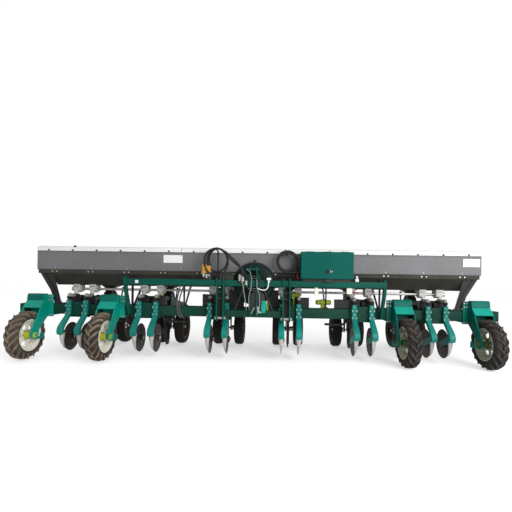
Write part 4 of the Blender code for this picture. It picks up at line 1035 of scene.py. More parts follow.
print(len(fronts), "bolts on the shanks")

# %% [markdown]
# ## Coulter discs
# The disc is plain rolled steel: flat, with a ground bevel at its edge and a bolted bearing hub on one side.
# It is turned in one piece from half its outline, and the hub's bolts come from the bolt tree.

# %% Discs
def coulter(x):
    flat = 0.0025
    blade = [(-flat, 0.0088), (-flat, DISC_RADIUS - 0.020), (-0.0004, DISC_RADIUS), (0.0004, DISC_RADIUS),
             (flat, DISC_RADIUS - 0.020), (flat, 0.052), (0.006, 0.050), (0.008, 0.042), (0.0095, 0.036),
             (0.0200, 0.034), (0.0255, 0.028), (0.0270, 0.020), (0.0270, 0.0088)]
    return turned(blade, (x, DISC_Y, DISC_Z), sides=72)


for number, row in enumerate(ROWS, 1):
    for letter, side in (("a", -1), ("b", 1)):
        name = f"opener_disc_{number}{letter}"
        x = row + side * SHANK_OFFSET
        blade = finish_piece(f"{name}_blade", coulter(x), DISC, name)
        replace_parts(blade, name)
        heads = circle_of(5, (x + 0.0058, DISC_Y, DISC_Z), 0.046)
        bolts(f"{name}_bolts", heads, (1, 0, 0), 0.005, 0.004, STEEL, name)
print("openers done")

# %% [markdown]
# ## Frame, rail and hitch
# The tractor holds the machine at three places: two low clevises and one mast. Everything in this frame is
# square tube and flame-cut plate. The tubes get rounded corners, because a rolled tube never has sharp ones,
# and the curved arms that carry the front rail are cut from thick plate along a smooth outline.

# %% Tubes and plates of the frame
RAIL_Y = (-0.209, -0.151)
RAIL_Z = (0.717, 0.775)
RAIL_FACE = RAIL_Y[0] - 0.0002
TUBE_WALL, TUBE_CORNER = 0.010, 0.012
PIN_PROFILE = both_ways([(0.053, 0.0), (0.053, 0.009), (0.051, 0.011)])
HITCH_X = abs(frame["record"]["mounts"][0]["pos_m"][0]) - 0.037
MAST_HALF = 0.025
PLATE_THICK = 0.012
CORNER_STEPS = 4


def rounded_square(y, z, corner):
    """A (y, z) outline of a rectangle with round corners."""
    outline = []
    for cy, cz, start in ((y[1], z[1], 0), (y[0], z[1], 1), (y[0], z[0], 2), (y[1], z[0], 3)):
        inward_y = -corner if cy == y[1] else corner
        inward_z = -corner if cz == z[1] else corner
        for i in range(CORNER_STEPS + 1):
            angle = math.pi / 2 * (start + i / CORNER_STEPS)
            outline.append((cy + inward_y + corner * math.cos(angle),
                            cz + inward_z + corner * math.sin(angle)))
    return outline


def hollow_tube(x, y, z, wall, corner):
    """A square tube along X, open at both ends."""
    outer = rounded_square(y, z, corner)
    inner = rounded_square((y[0] + wall, y[1] - wall), (z[0] + wall, z[1] - wall), corner / 2)
    rings = [[(x[0], *p) for p in outer], [(x[1], *p) for p in outer], [(x[1], *p) for p in inner],
             [(x[0], *p) for p in inner]]
    return through(rings, closed=True)


def capped_tube(x, y, z, corner):
    """A closed square bar along X with round corners."""
    return plate(rounded_square(y, z, corner), x)


bar = hollow_tube((-BAR_END, BAR_END), (-BAR_HALF, BAR_HALF), (BAR_LOW, BAR_TOP), TUBE_WALL, TUBE_CORNER)
toolbar = finish_piece("toolbar_tube", bar, SHADED_DEEP_GREEN)
rail_end = (ROWS[-2] + 0.118 + WHEELS[2] - 0.14) / 2
finish_piece("front_rail", capped_tube((-rail_end - 0.014, rail_end + 0.014), RAIL_Y, RAIL_Z, 0.006),
             RAIL_PAINT)

arm_line = smooth_line([(0, -0.185, 0.79), (0, -0.184, 0.70), (0, -0.160, 0.62), (0, -0.128, 0.55),
                        (0, -0.105, 0.48), (0, -0.078, 0.425)], 16)
arm_front = [(p.y - 0.020, p.z) for p in arm_line]
arm_rear = [(min(p.y + 0.024, -0.0505), p.z) for p in reversed(arm_line)]
for name, side in (("left", -1), ("right", 1)):
    x = side * rail_end
    finish_piece(f"rail_arm_{name}", plate(arm_front + arm_rear, about(x, 0.013)), RAIL_PAINT,
                 bevel=0.0015)


print("the rail ends at x", round(rail_end, 3))

# %% Clevises and their pins
clevis_outline = [(-0.231, 0.795), (-0.243, 0.46), (-0.234, 0.400), (-0.226, 0.390), (-0.182, 0.390),
                  (-0.171, 0.402), (-0.154, 0.450), (-0.154, 0.795)]
for name, side in (("left", -1), ("right", 1)):
    middle = side * HITCH_X
    cheeks = [plate(clevis_outline, (x, x + PLATE_THICK)) for x in (middle - 0.037, middle + 0.025)]
    finish_piece(f"clevis_{name}", cheeks, RAIL_PAINT, bevel=0.002)
    spacers = [cylinder((middle - 0.026, -0.1985, z), (middle + 0.026, -0.1985, z), 0.011)
               for z in (0.60, 0.66)]
    spacers.append(block(about(middle, 0.0255), (-0.170, -0.160), (0.43, 0.70)))
    finish_piece(f"clevis_spacers_{name}", spacers, DARK, bevel=0.001)
    pin = [turned(PIN_PROFILE, (middle, -0.209, 0.418), sides=24)]
    for low, high, x in ((-0.008, 0.0, middle - 0.038), (0.0, 0.008, middle + 0.038)):
        collar = [(low, 0.0112), (low, 0.018), (high, 0.018), (high, 0.0112)]
        pin.append(turned(collar, (x, -0.209, 0.418), sides=24))
    finish_piece(f"hitch_pin_{name}", pin, BOLT)
print("two clevises and their pins done")

# %% Mast, struts and crossbar
mast_outline = [(-0.229, 0.434), (-0.161, 0.434), (-0.161, 0.852), (-0.168, 0.872), (-0.184, 0.896),
                (-0.195, 0.900), (-0.219, 0.900), (-0.232, 0.890), (-0.239, 0.868), (-0.238, 0.840),
                (-0.229, 0.775)]
mast = [plate(mast_outline, (x, x + PLATE_THICK)) for x in (-MAST_HALF - PLATE_THICK, MAST_HALF)]
mast.append(block((-0.068, 0.055), (-0.2435, -0.239), (0.870, 0.886)))
finish_piece("mast", mast, RAIL_PAINT, bevel=0.0015)
mast_lugs = [block(sorted((side * 0.036, side * 0.058)), (-0.221, -0.197), (0.781, 0.829))
             for side in (-1, 1)]
finish_piece("mast_lugs", mast_lugs, SHADED_DEEP_GREEN, bevel=0.002)
cross_pin = turned(PIN_PROFILE, (0, -0.209, 0.87), sides=24)
finish_piece("top_link_pin", cross_pin, CASING)
strut_foot = ROWS[3] - 0.168
struts = [pipe([(side * 0.047, -0.209, 0.812), (side * strut_foot, -0.179, 0.485)], 0.0088)
          for side in (-1, 1)]
finish_piece("mast_struts", struts, DARK)
cross = [capped_tube((-HITCH_X + 0.031, HITCH_X - 0.031), (-0.201, -0.156), (0.43, 0.49), 0.005)]
for side in (-1, 1):
    x = sorted((side * (strut_foot + 0.020 - 0.06), side * (strut_foot + 0.020)))
    cross.append(block(x, (-0.181, -BAR_FACE), (0.438, 0.482)))
finish_piece("hitch_crossbar", cross, SHADED_DEEP_GREEN, bevel=0.001)
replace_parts(toolbar, "main_frame")
print("frame done")

# %% [markdown]
# ## Fan
# The fan that serves the seed meters sits behind the mast: a drum with a rolled edge, an inlet with a
# guard, and a bladed wheel inside. The drum is turned from its outline, with the dome pressed outwards, and
# the guard is a few rings and spokes of wire.

# %% Casing, guard and wheel
FAN_Z = joints["fan_spin"]["pos_m"][2]
FAN_BLADES = 12
drum = turned([(-0.150, 0.075), (-0.156, 0.082), (-0.153, 0.120), (-0.147, 0.165), (-0.138, 0.188),
               (-0.122, 0.1985), (-0.066, 0.1985), (-0.066, 0.0148), (-0.070, 0.0148), (-0.070, 0.1945),
               (-0.121, 0.1945), (-0.135, 0.185), (-0.143, 0.163), (-0.149, 0.120), (-0.151, 0.085),
               (-0.147, 0.077)], (0, 0, FAN_Z), "Y", 96)
finish_piece("fan_casing", drum, CASING)
edge = turned([(-0.109, 0.199), (-0.109, 0.2065), (-0.101, 0.2065), (-0.101, 0.199)], (0, 0, FAN_Z), "Y", 96)
lugs = [block((-0.012, 0.012), (-0.112, -0.098), (FAN_Z + 0.200, FAN_Z + 0.222)),
        front_plate([(-0.020, FAN_Z + 0.198), (0.020, FAN_Z + 0.198), (0.006, FAN_Z + 0.232),
                     (-0.006, FAN_Z + 0.232)], (-0.107, -0.103))]
finish_piece("fan_rim", poured(edge, *lugs), CHARCOAL, bevel=0.001)
guard = []
for radius in (0.030, 0.050, 0.070):
    low, high = about(radius, 0.0015)
    guard.append(turned([(-0.1595, low), (-0.1595, high), (-0.1565, high), (-0.1565, low)], (0, 0, FAN_Z),
                        "Y", 48))
for i in range(4):
    angle = math.pi / 4 * (i + 0.5)
    reach = Vector((0.082 * math.cos(angle), 0, 0.082 * math.sin(angle)))
    centre = Vector((0, -0.1585, FAN_Z))
    guard.append(cylinder(centre - reach, centre + reach, 0.0016, 8))
finish_piece("fan_guard", guard, STEEL)
brackets = [block(sorted((side * 0.105, side * 0.165)), (-0.161, -0.124), (0.727, 0.765))
            for side in (-1, 1)]
finish_piece("fan_brackets", brackets, SHADED_DEEP_GREEN, bevel=0.002)
wheel = [turned([(-0.147, 0.0), (-0.147, 0.016), (-0.139, 0.022), (-0.088, 0.034), (-0.084, 0.172),
                 (-0.080, 0.172), (-0.080, 0.0140), (-0.058, 0.0140), (-0.058, 0.0)], (0, 0, FAN_Z), "Y",
                64)]
for i in range(FAN_BLADES):
    angle = 2 * math.pi * i / FAN_BLADES
    blade = block((-0.002, 0.002), (-0.128, -0.083), (0.045, 0.168))
    bmesh.ops.rotate(blade, cent=(0, 0, 0.1), matrix=Matrix.Rotation(0.5, 3, "Y"), verts=blade.verts)
    bmesh.ops.rotate(blade, cent=(0, 0, 0), matrix=Matrix.Rotation(angle, 3, "Y"), verts=blade.verts)
    wheel.append(shifted(blade, z=FAN_Z))
rotor = finish_piece("fan_wheel", wheel, BLACK, "fan_rotor")
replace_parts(rotor, "fan_rotor")
print("fan done")

# %% [markdown]
# ## Hopper
# One long trough of folded sheet in three sections. The upper part is painted grey; the ledge and the legs
# are nearly black, and the lower part is nearly black as painted shade under the ledge. Each part is a ring of
# its outlines from level to level, outside up and inside down, so the walls have their real thickness and the
# top stays open under the lids.

# %% Panels, trough and ledge
WALL = 0.004


def level_ring(z, x, y):
    return [(x[0], y[0], z), (x[1], y[0], z), (x[1], y[1], z), (x[0], y[1], z)]


def grown_span(span, by):
    return span[0] - by, span[1] + by


ENDS, ACROSS = (-HOPPER_END, HOPPER_END), (HOPPER_FRONT, HOPPER_REAR)
FOOT, BOTTOM = (-TROUGH_END, TROUGH_END), (0.06, 0.18)
upper = [level_ring(z, grown_span(ENDS, -by), grown_span(ACROSS, -by)) for z, by in
         ((PANEL_LOW - 0.003, 0), (HOPPER_TOP, 0), (HOPPER_TOP, WALL), (PANEL_LOW - 0.003, WALL))]
panels = finish_piece("hopper_panels", through(upper, closed=True), GREY)
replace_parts(panels, "hopper")
# The trough under the ledge is nearly black as painted shade.
lower = [level_ring(TROUGH_LOW, FOOT, BOTTOM), level_ring(LEDGE_LOW, FOOT, ACROSS),
         level_ring(PANEL_LOW - 0.0032, ENDS, ACROSS),
         level_ring(PANEL_LOW - 0.0032, grown_span(ENDS, -WALL), grown_span(ACROSS, -WALL)),
         level_ring(LEDGE_LOW + WALL, grown_span(FOOT, -WALL), grown_span(ACROSS, -WALL)),
         level_ring(TROUGH_LOW + WALL, grown_span(FOOT, -WALL), grown_span(BOTTOM, -WALL))]
finish_piece("hopper_trough", through(lower), DARK)


def laid_on(thick, gap=0.0002):
    """The two y ranges of a sheet laid on the front of the hopper and on its rear."""
    return (HOPPER_FRONT - thick, HOPPER_FRONT - gap), (HOPPER_REAR + gap, HOPPER_REAR + thick)


LEDGE_THICK, STRAP_THICK, EDGE_THICK = 0.010, 0.0035, 0.004
ledge_rear = HOPPER_REAR + LEDGE_THICK
ledges = [block(grown_span(ENDS, -0.02), y, (LEDGE_LOW, PANEL_LOW)) for y in laid_on(LEDGE_THICK, GAP)]
finish_piece("hopper_ledge", ledges, DARK, bevel=0.0015)
seams = [-HOPPER_END / 3, HOPPER_END / 3]
dividers, straps = [], []
for x in seams:
    dividers.append(block(about(x, 0.004), grown_span(ACROSS, -0.0045), (PANEL_LOW, HOPPER_TOP - 0.002)))
    straps += [block(about(x, 0.016), y, (PANEL_LOW, HOPPER_TOP - 0.004)) for y in laid_on(STRAP_THICK)]
finish_piece("hopper_dividers", dividers, GREY)
finish_piece("hopper_seam_straps", straps, GREY, bevel=0.001)
rolled = [block(grown_span(ENDS, -0.004), y, (HOPPER_TOP - 0.012, HOPPER_TOP - 0.001))
          for y in laid_on(EDGE_THICK)]
finish_piece("hopper_top_edge", rolled, GREY, bevel=0.0015)
print(len(straps), "straps over the seams")

# %% Bolts along the hopper
BOLT_PITCH = 0.363
rows_of_bolts = [i * BOLT_PITCH + BOLT_PITCH / 2 for i in range(-6, 6)]
panel_heads = [(x, HOPPER_FRONT - 0.0002, PANEL_LOW + 0.016) for x in rows_of_bolts]
ledge_heads = [(x + dx, HOPPER_FRONT - LEDGE_THICK, LEDGE_LOW + 0.020) for x in rows_of_bolts
               for dx in (-0.022, 0.022)]
seam_heads = [(x, HOPPER_FRONT - STRAP_THICK, z) for x in seams
              for z in (PANEL_LOW + 0.03, HOPPER_TOP - 0.035)]
bolts("hopper_panel_bolts", panel_heads + seam_heads, (0, -1, 0), 0.0048, 0.004)
bolts("hopper_ledge_bolts", ledge_heads, (0, -1, 0), 0.0048, 0.005, STEEL)
rear_heads = [(x, ledge_rear, LEDGE_LOW + 0.020) for x in rows_of_bolts]
bolts("hopper_rear_bolts", rear_heads, (0, 1, 0), 0.006, 0.006, STEEL)
print(len(rows_of_bolts), "places for bolts along the panel")

# %% Legs and blank plates
LEG_FOOT, LEG_HEAD = SEAT + 0.010, LEDGE_LOW + 0.004
FOOT_Y = (-0.045, 0.045)


def leg_plate(low, high, y):
    """A leg's plate between two (left, right) spans along X, one at its foot and one at its head."""
    return front_plate([(low[0], LEG_FOOT), (low[1], LEG_FOOT), (high[1], LEG_HEAD), (high[0], LEG_HEAD)], y)


legs = []
for side in (-1, 1):
    top, low = side * (HOPPER_END - 0.05), side * (WHEELS[3] - 0.20)
    for y, half, shift in (((-0.045, -0.041), 0.022, 0.0), ((-0.041, -0.012), 0.004, 0.018)):
        legs.append(leg_plate(about(low + side * shift, side * half),
                              about(top + side * shift, side * half), y))
    legs.append(block(about(low, 0.044), FOOT_Y, (SEAT, LEG_FOOT)))
for x in [0.0] + [side * x for side in (-1, 1) for x in (0.70, WHEELS[2] - 0.20)]:
    legs.append(block(about(x, 0.02), FOOT_Y, (SEAT, LEG_FOOT)))
    for low, high in (((-0.045, -0.008), (-0.05, -0.012)), ((0.008, 0.045), (0.33, 0.40))):
        outline = [(low[0], SEAT + 0.008), (low[1], SEAT + 0.008), (high[1], LEG_HEAD), (high[0], LEG_HEAD)]
        legs.append(plate(outline, about(x, 0.005)))
for side in (-1, 1):
    top, low = side * (HOPPER_END - 0.13), side * (WHEELS[3] - 0.16)
    legs.append(leg_plate((low - 0.05 * side, low + 0.02 * side), (top - 0.03 * side, top + 0.06 * side),
                          (-0.038, -0.034)))
finish_piece("hopper_legs", legs, BLACK, bevel=0.001)
foot_heads = [(side * (WHEELS[3] - 0.20) + dx, y, LEG_FOOT) for side in (-1, 1) for dx in (-0.034, 0.034)
              for y in (-0.030, 0.030)]
bolts("hopper_foot_bolts", foot_heads, (0, 0, 1), 0.007, 0.006, STEEL)

plate_y = (HOPPER_FRONT - 0.0042, HOPPER_FRONT - 0.0036)
plates = [block(x, plate_y, (0.935, 1.012)) for x in ((-0.905, -0.715), (2.005, 2.165))]
finish_piece("blank_plates", plates, PLATE_WHITE)
print("hopper done")

# %% [markdown]
# ## Fertiliser meters
# Twelve small pale meters hang under the trough, one above each shank, and one shaft turns them all. Each
# is a moulded housing with a round end cover and a short spout, and a ribbed hose drops from the spout into
# the shank's funnel. The hose is a pipe on a smooth line whose radius swells a little at every rib.

# %% Meters, hoses and shaft
SHAFT_Y = joints["metering_shaft_spin"]["pos_m"][1] - BAR_Y
SHAFT_Z = joints["metering_shaft_spin"]["pos_m"][2]


def meter(x):
    drum = both_ways([(0.035, 0.0128), (0.035, 0.034), (0.031, 0.037)])
    body = [block(about(x, 0.034), (0.042, 0.148), (0.640, 0.704)),
            through([level_ring(0.704, about(x, 0.034), (0.042, 0.148)),
                     level_ring(0.716, about(x, 0.028), (0.064, 0.128))]),
            turned(drum, (x, SHAFT_Y, SHAFT_Z), sides=32),
            pipe([(x, 0.060, 0.645), (x, 0.050, 0.632), (x, 0.036, 0.608)], 0.020, 16)]
    return poured(*body)


HOSE_RIBS, HOSE_RADIUS, HOSE_SIDES = 12, 0.0165, 14
RIB = (1.0, 1.06, 1.10, 1.06)


def ribbed_hose(points):
    """A hose whose radius swells at each rib."""
    count = HOSE_RIBS * len(RIB) + 1
    line = smooth_line(points, count)
    rings = []
    side = Vector((1, 0, 0))
    for i, point in enumerate(line):
        along = (line[min(i + 1, count - 1)] - line[max(i - 1, 0)]).normalized()
        side = (side - along * side.dot(along)).normalized()
        lift = along.cross(side)
        r = HOSE_RADIUS * RIB[i % len(RIB)]
        rings.append([point + r * (side * math.cos(a) + lift * math.sin(a))
                      for a in (2 * math.pi * k / HOSE_SIDES for k in range(HOSE_SIDES))])
    return through(rings)


def seed_line(x):
    """Hose from a meter's spout to the funnel on its shank."""
    return ribbed_hose([(x, 0.040, 0.614), (x, 0.018, 0.597), (x, -0.030, 0.597), (x, -0.066, 0.604),
                        (x, -0.078, 0.585)])


def shank_funnel(x):
    return turned([(0.0, 0.0), (0.0, 0.016), (0.020, 0.016), (0.030, 0.022), (0.040, 0.023), (0.040, 0.0)],
                  (x, SHANK_FACE, 0.546), "Z", 24)


print("hoses have", HOSE_RIBS, "ribs")

# %% Twelve meters and their shaft
finish_piece("meters", [meter(x) for x in SHANKS], METER, bevel=0.0015)
finish_piece("fertiliser_hoses", [seed_line(x) for x in SHANKS], PALE_HOSE)
finish_piece("shank_funnels", [shank_funnel(x) for x in SHANKS], BLACK)
gates = [block(about(x, 0.020), (0.030, 0.0418), (0.684, 0.692)) for x in SHANKS]
finish_piece("meter_gates", gates, BOLT, bevel=0.0008)
covers = [(x + dx, 0.0418, z) for x in SHANKS for dx in (-0.024, 0.024) for z in (0.650, 0.696)]
bolts("meter_screws", covers, (0, -1, 0), 0.0035, 0.003)
shaft_end = SHANKS[-1] + 0.070
shaft = [cylinder((-shaft_end, SHAFT_Y, SHAFT_Z), (shaft_end, SHAFT_Y, SHAFT_Z), 0.012, 24, 0.001)]
collar = both_ways([(0.013, 0.0121), (0.013, 0.021), (0.010, 0.024)])
for side in (-1, 1):
    shaft.append(turned(collar, (side * (shaft_end - 0.017), SHAFT_Y, SHAFT_Z), sides=32))
turning = finish_piece("meter_shaft", shaft, STEEL, "metering_shaft")
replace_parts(turning, "metering_shaft")
print("meters done")

# %% [markdown]
# ## Lids
# Each hopper section has a white moulded lid: a low crown from front to back with a turned-down lip, pressed
# cross ribs and dark clips along the front. The skin is a grid that follows the crown, and the ribs are part
# of the same skin, so light runs over them softly.

# %% Lids and clips
LID_LOW = HOPPER_TOP + GAP
LID_WALL, BAND_PITCH = 0.005, 0.24
CROWN = ((-0.060, 0.0), (-0.060, 0.028), (-0.052, 0.040), (-0.025, 0.049), (0.04, 0.0535), (0.13, 0.0535),
         (0.26, 0.0535), (0.39, 0.049), (0.47, 0.036), (0.502, 0.026), (0.510, 0.018), (0.510, 0.0))


def lid_ring(x, rise, wall):
    """The crown's outline at x, raised by rise and drawn in by wall."""
    middle = Vector((0.22, 0.02))
    points = []
    for y, z in CROWN:
        inward = (middle - Vector((y, z))).normalized() * wall
        lift = (rise if z > 0.03 else 0.0) + (inward.y if z > 0 else 0.0)
        points.append((x, y + inward.x, LID_LOW + z + lift))
    return points


def lid_skin(low, high):
    """A lid of real thickness, open below, with a raised band every quarter of a metre."""
    bands = round((high - low) / BAND_PITCH)
    places = [(low, -0.004), (low + 0.004, 0.0)]
    for i in range(1, bands):
        middle = low + (high - low) * i / bands
        places += [(middle - 0.030, -0.0018), (middle - 0.022, 0.0), (middle + 0.022, 0.0),
                   (middle + 0.030, -0.0018)]
    places += [(high - 0.004, 0.0), (high, -0.004)]
    bm = bmesh.new()
    outer = [[bm.verts.new(p) for p in lid_ring(x, rise, 0.0)] for x, rise in places]
    inner = [[bm.verts.new(p) for p in lid_ring(x, -LID_WALL, LID_WALL)]
             for x in (low + LID_WALL, high - LID_WALL)]
    for rows in (outer, inner):
        for first, second in zip(rows, rows[1:]):
            for i in range(len(CROWN) - 1):
                bm.faces.new((first[i], first[i + 1], second[i + 1], second[i]))
        bm.faces.new(rows[0])
        bm.faces.new(rows[-1])
    for end in (0, -1):
        bm.faces.new([row[end] for row in outer] + [inner[1][end], inner[0][end]])
        bm.faces.new((outer[end][0], inner[end][0], inner[end][-1], outer[end][-1]))
    bmesh.ops.recalc_face_normals(bm, faces=bm.faces)
    return bm


print("lids and clips can be made")

# %% Three lids
KNOB_X = -1.80
HINGES = 4
for name in ("left", "centre", "right"):
    body = f"lid_{name}"
    low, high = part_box(body)[0].x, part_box(body)[1].x
    count = round((high - low) / BAND_PITCH)
    lid = finish_piece(f"{body}_skin", lid_skin(low, high), WHITE, body, sharp=28)
    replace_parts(lid, body)
    clips = []
    for i in range(count):
        x = low + (high - low) * (i + 0.5) / count
        clips.append(block(about(x, 0.008), (-0.0650, -0.0602), (LID_LOW + 0.001, LID_LOW + 0.012)))
        clips.append(block(about(x, 0.005), (-0.0650, -0.056), (LID_LOW + 0.011, LID_LOW + 0.015)))
    finish_piece(f"{body}_clips", clips, BLACK, body, bevel=0.001)
    hinges = []
    for i in range(HINGES):
        x = low + (high - low) * (i + 0.5) / HINGES
        hinges.append(cylinder((x - 0.03, 0.5095, LID_LOW), (x + 0.03, 0.5095, LID_LOW), 0.005, 16))
    finish_piece(f"{body}_hinges", hinges, STEEL, body)
    if low < KNOB_X < high:
        stem, top = [[(KNOB_X, -0.048, LID_LOW + z) for z in ends]
                     for ends in ((0.030, 0.042), (0.040, 0.0545))]
        knob = poured(cylinder(*stem, 0.006, 16), cylinder(*top, 0.012, 20, 0.003))
        finish_piece(f"{body}_knob", knob, BLACK, body)
print("lids done")

# %% [markdown]
# ## Tool box
# A plain sheet-metal box on a shelf over the front rail. Its front is a door that stands a little proud of
# the shell, with a folded edge all round, a hinge along the top and an over-centre latch below the middle.

# %% Tool box
BOX_LOW, BOX_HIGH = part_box("toolbox")
BOX_X, BOX_Z = (BOX_LOW.x, BOX_HIGH.x), (BOX_LOW.z, BOX_HIGH.z)
BOX_Y = (BOX_LOW.y - BAR_Y, BOX_HIGH.y - BAR_Y)


def y_ring(y, x, z):
    return [(x[0], y, z[0]), (x[1], y, z[0]), (x[1], y, z[1]), (x[0], y, z[1])]


inside = (grown_span(BOX_X, -0.003), grown_span(BOX_Z, -0.003))
shell = [y_ring(BOX_Y[0] + 0.004, BOX_X, BOX_Z), y_ring(BOX_Y[1], BOX_X, BOX_Z), y_ring(BOX_Y[1], *inside),
         y_ring(BOX_Y[0] + 0.007, *inside)]
box_shell = finish_piece("tool_box_shell", through(shell), BOX_TEAL, bevel=0.0015)
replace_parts(box_shell, "toolbox")
door = block(grown_span(BOX_X, -0.0035), (BOX_Y[0], BOX_Y[0] + 0.0038), grown_span(BOX_Z, -0.0035))
finish_piece("tool_box_door", door, BOX_TEAL, bevel=0.0018)
x, y, z = 0.70, BOX_Y[0], BOX_Z[0] + 0.068
latch = [block((x - 0.034, x + 0.004), (y - 0.004, y - 0.0001), (z - 0.014, z + 0.016)),
         block((x - 0.024, x - 0.010), (y - 0.012, y - 0.003), (z - 0.018, z + 0.010))]
finish_piece("tool_box_latch", latch, BLACK, bevel=0.0015)
hasp = [block((x + 0.006, x + 0.014), (y - 0.006, y - 0.0001), (z - 0.012, z + 0.014)),
        cylinder((x + 0.026, y - 0.005, z), (x + 0.026, y, z), 0.006, 16)]
finish_piece("tool_box_hasp", hasp, BOLT, bevel=0.001)
# The shelf is dark as painted shade under the box.
shelf = [block(grown_span(BOX_X, -0.02), (y + 0.030, BOX_Y[1]), (0.7712, BOX_Z[0] - GAP)),
         block((0.655, 0.735), (y + 0.018, y + 0.032), (0.766, BOX_Z[0] - GAP))]
finish_piece("tool_box_shelf", shelf, DARK, bevel=0.001)
hinge_y, hinge_z = y + 0.0035, BOX_Z[1] - 0.001
box_hinge = [cylinder((x - 0.04, hinge_y, hinge_z), (x + 0.04, hinge_y, hinge_z), 0.0035, 12)
             for x in (0.52, 0.68, 0.84)]
finish_piece("tool_box_hinge", box_hinge, BOX_TEAL)
print("tool box done")

# %% [markdown]
# ## Parallel arms
# Two arms of equal length keep each row unit level while it follows the ground. An arm is a pair of flat
# bars with round eyes, joined by two cross tubes that turn on pins, and a web that stops it from twisting.

# %% Arms
LOWER_Z = joints["lower_arm_1_swing"]["pos_m"][2]
REAR_Y = joints["row_unit_1_level"]["pos_m"][1] - BAR_Y
ARM_INSIDE = 0.0598
UPPER_Z = joints["upper_arm_1_swing"]["pos_m"][2]


def eyed_bar(x, y, z, half):
    """A flat bar between two round eyes."""
    outline = []
    for centre, start in ((y[1], -90), (y[0], 90)):
        for i in range(9):
            angle = math.radians(start + 180 * i / 8)
            outline.append((centre + half * math.cos(angle), z + half * math.sin(angle)))
    return plate(outline, x)


def arm(row, z):
    between = about(row, ARM_INSIDE)
    middle = (ARM_Y + REAR_Y) / 2
    bush = both_ways([(ARM_INSIDE, 0.0106), (ARM_INSIDE, 0.0185)])
    parts = [eyed_bar((row + x, row + x + 0.0115), (ARM_Y, REAR_Y), z, 0.0195) for x in (-0.0714, 0.0599)]
    parts += [turned(bush, (row, y, z), sides=28) for y in (ARM_Y, REAR_Y)]
    parts.append(block(between, about(middle, 0.055), about(z, 0.003)))
    parts.append(block(between, (middle - 0.058, middle - 0.052), about(z, 0.014)))
    return poured(*parts)


for number, row in enumerate(ROWS, 1):
    for level, z in (("lower", LOWER_Z), ("upper", UPPER_Z)):
        name = f"{level}_arm_{number}"
        piece = finish_piece(f"{name}_bars", arm(row, z), SHADED_DEEP_GREEN, name, bevel=0.001)
        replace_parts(piece, name)
pins = [(row + side * 0.082, ARM_Y, z) for row in ROWS for side in (-1, 1) for z in (LOWER_Z, UPPER_Z)]
bolts("arm_pins_front", pins, [(side, 0, 0) for _ in ROWS for side in (-1, 1) for _ in (0, 1)], 0.011, 0.009)
print("arms done")

# %% [markdown]
# ## Row units
# A row unit is two cheeks round a seed meter. Over the meter stands the seed box, under it runs the thin
# knife that opens the slot, and behind it the leg comes down to the two press wheels. The seed box is a
# moulded tub: its outline has round corners, it tapers to the neck, and its lid overhangs.

# %% Seed box and meter
METER_Y, METER_Z, METER_R = 0.61, 0.539, 0.095
METER_RIBS = 6
SEED_X, SEED_Y = 0.13, (0.545, 0.845)


def moulded(row, levels):
    """A moulded shape with round corners, from (height, half width, y range, corner) levels."""
    rings = []
    for z, half, y, corner in levels:
        rings.append([(px, py, z) for px, py in rounded_square(about(row, half), y, corner)])
    return through(rings)


def seed_tub(row):
    return moulded(row, ((0.600, 0.040, (0.565, 0.655), 0.006), (0.655, 0.040, (0.565, 0.655), 0.008),
                         (0.712, SEED_X - 0.006, grown_span(SEED_Y, -0.006), 0.030),
                         (0.905, SEED_X - 0.002, grown_span(SEED_Y, -0.002), 0.032),
                         (0.912, SEED_X, SEED_Y, 0.034), (0.916, SEED_X, SEED_Y, 0.034)))


def seed_lid(row):
    return moulded(row, ((0.9162, SEED_X, SEED_Y, 0.034), (0.931, SEED_X, SEED_Y, 0.034),
                         (0.938, SEED_X - 0.008, grown_span(SEED_Y, -0.008), 0.030),
                         (0.940, SEED_X - 0.030, grown_span(SEED_Y, -0.030), 0.020)))


def seed_meter(row):
    housing = turned(both_ways([(0.046, 0.0), (0.046, 0.030), (0.040, 0.034), (0.040, 0.076),
                                (0.046, 0.080), (0.046, 0.090), (0.040, METER_R), (0.012, METER_R),
                                (0.010, METER_R - 0.004)]), (row, METER_Y, METER_Z), sides=48)
    ribs = []
    for i in range(METER_RIBS):
        angle = 2 * math.pi * i / METER_RIBS
        for side in (-1, 1):
            rib = block(about(side * 0.0395, 0.003), (-0.003, 0.003), (0.032, 0.079))
            bmesh.ops.rotate(rib, cent=(0, 0, 0), matrix=Matrix.Rotation(angle, 3, "X"), verts=rib.verts)
            ribs.append(shifted(rib, row, METER_Y, METER_Z))
    return poured(housing, *ribs)


print("seed boxes can be made")

# %% Cheeks, knife, leg and handle
def row_cheeks(row):
    outline = [(0.419, 0.400), (0.421, 0.388), (0.430, 0.377), (0.445, 0.374), (0.495, 0.374),
               (0.507, 0.384), (0.525, 0.430), (0.93, 0.430), (0.93, 0.484), (0.922, 0.490), (0.70, 0.520),
               (0.605, 0.560), (0.480, 0.583), (0.465, 0.586), (0.440, 0.582), (0.425, 0.570)]
    parts = [plate(outline, (row + x, row + x + CHEEK_THICK)) for x in CHEEK_SIDES]
    parts.append(block(about(row, 0.080), (0.520, 0.928), (0.432, 0.449)))
    parts.append(block(about(row, 0.072), (0.918, 0.928), (0.449, 0.484)))
    for z in (0.400, 0.560):
        parts.append(cylinder((row - PIN_HALF, REAR_Y, z), (row + PIN_HALF, REAR_Y, z), PIN_RADIUS))
    return poured(*parts)


